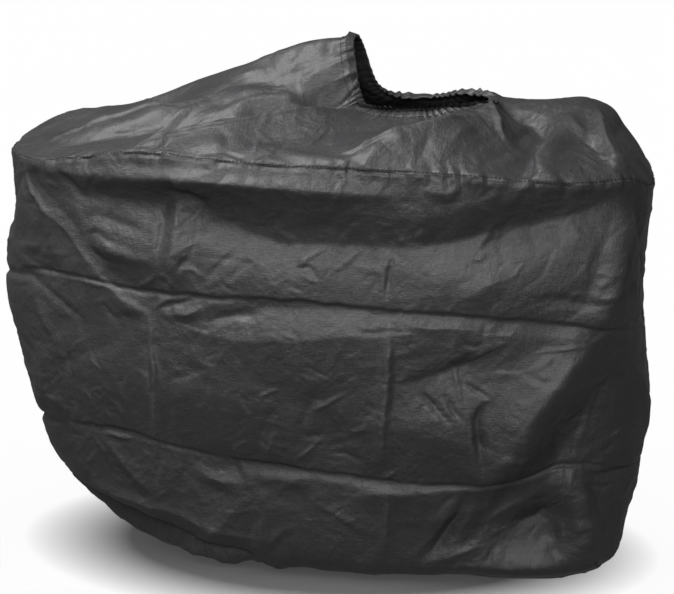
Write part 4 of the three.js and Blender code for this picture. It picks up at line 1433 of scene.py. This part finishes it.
def add_floor(stage):
    """A wide round floor under the cover."""
    turn = 2 * np.pi * np.arange(FLOOR_SIDES) / FLOOR_SIDES
    circle = np.stack([np.cos(turn), np.sin(turn), 0 * turn], -1) * FLOOR_RADIUS
    floor = mesh_object("floor", circle + np.array([0, 0, -FLOOR_GAP]), [list(range(FLOOR_SIDES))])
    floor.data.materials.append(floor_material(stage))
    floor.visible_diffuse = floor.visible_glossy = False


def add_surroundings(scene, strength):
    """An even white light from all round."""
    world = bpy.data.worlds.new("pale_studio")
    scene.world = world
    world.use_nodes = True
    background = world.node_tree.nodes["Background"]
    background.inputs["Color"].default_value = (1, 1, 1, 1)
    background.inputs["Strength"].default_value = strength


def add_camera(scene):
    """The camera, which looks at its aim from its azimuth, elevation and distance."""
    azimuth, elevation = math.radians(CAMERA["azimuth"]), math.radians(CAMERA["elevation"])
    back = Vector((math.sin(azimuth) * math.cos(elevation), -math.cos(azimuth) * math.cos(elevation),
                   math.sin(elevation)))
    data = bpy.data.cameras.new("camera")
    data.sensor_fit, data.sensor_width = "HORIZONTAL", CAMERA["sensor"]
    data.lens = CAMERA["focal_pixels"] * CAMERA["sensor"] / CAMERA["width_pixels"]
    camera = bpy.data.objects.new("camera", data)
    scene.collection.objects.link(camera)
    camera.location = Vector(CAMERA["aim"]) + back * CAMERA["distance"]
    camera.rotation_euler = back.to_track_quat("Z", "Y").to_euler()
    scene.camera = camera


class COVER_OT_stage(bpy.types.Operator):
    """Add the floor, the soft lights and the camera"""

    bl_idname = "cover.stage"
    bl_label = "Floor, lights and camera"

    def execute(self, context):
        stage = context.scene.cover_stage
        # The softboxes light the cover alone, so that the floor keeps only its own light, and the shadow
        # under the cover is painted into that light.
        lit = bpy.data.collections.new("lit_by_softboxes")
        for obj in context.scene.objects:
            if obj.type == "MESH":
                lit.objects.link(obj)
        add_floor(stage)
        area_light("top_softbox", stage.top_power, *TOP_SOFTBOX, lit)
        area_light("front_softbox", stage.front_power, *FRONT_SOFTBOX, lit)
        area_light("back_softbox", stage.back_power, *BACK_SOFTBOX, lit)
        add_surroundings(context.scene, stage.sky)
        add_camera(context.scene)
        context.scene.view_settings.view_transform = "Standard"
        return {"FINISHED"}


class COVER_PT_panel(bpy.types.Panel):
    """Lists the cover's pieces and its looks"""

    bl_idname = "COVER_PT_panel"
    bl_label = "Bicycle cover"
    bl_space_type = "VIEW_3D"
    bl_region_type = "UI"
    bl_category = "Bicycle cover"

    def draw(self, context):
        for group in (context.scene.cover_look, context.scene.cover_stage):
            for name in group.bl_rna.properties.keys():
                if name not in ("name", "rna_type"):
                    self.layout.prop(group, name)
        for operator in OPERATORS:
            self.layout.operator(operator.bl_idname)


OPERATORS = (COVER_OT_walls, COVER_OT_top, COVER_OT_stage)
CLASSES = (CoverLook, CoverStage, *OPERATORS, COVER_PT_panel)


def register():
    for cls in CLASSES:
        bpy.utils.register_class(cls)
    bpy.types.Scene.cover_look = bpy.props.PointerProperty(type=CoverLook)
    bpy.types.Scene.cover_stage = bpy.props.PointerProperty(type=CoverStage)


def unregister():
    del bpy.types.Scene.cover_look, bpy.types.Scene.cover_stage
    for cls in reversed(CLASSES):
        bpy.utils.unregister_class(cls)


def main():
    """Registers the add-on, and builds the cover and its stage."""
    register()
    bpy.ops.cover.walls()
    bpy.ops.cover.top()
    bpy.ops.cover.stage()


if __name__ == "__main__":
    main()
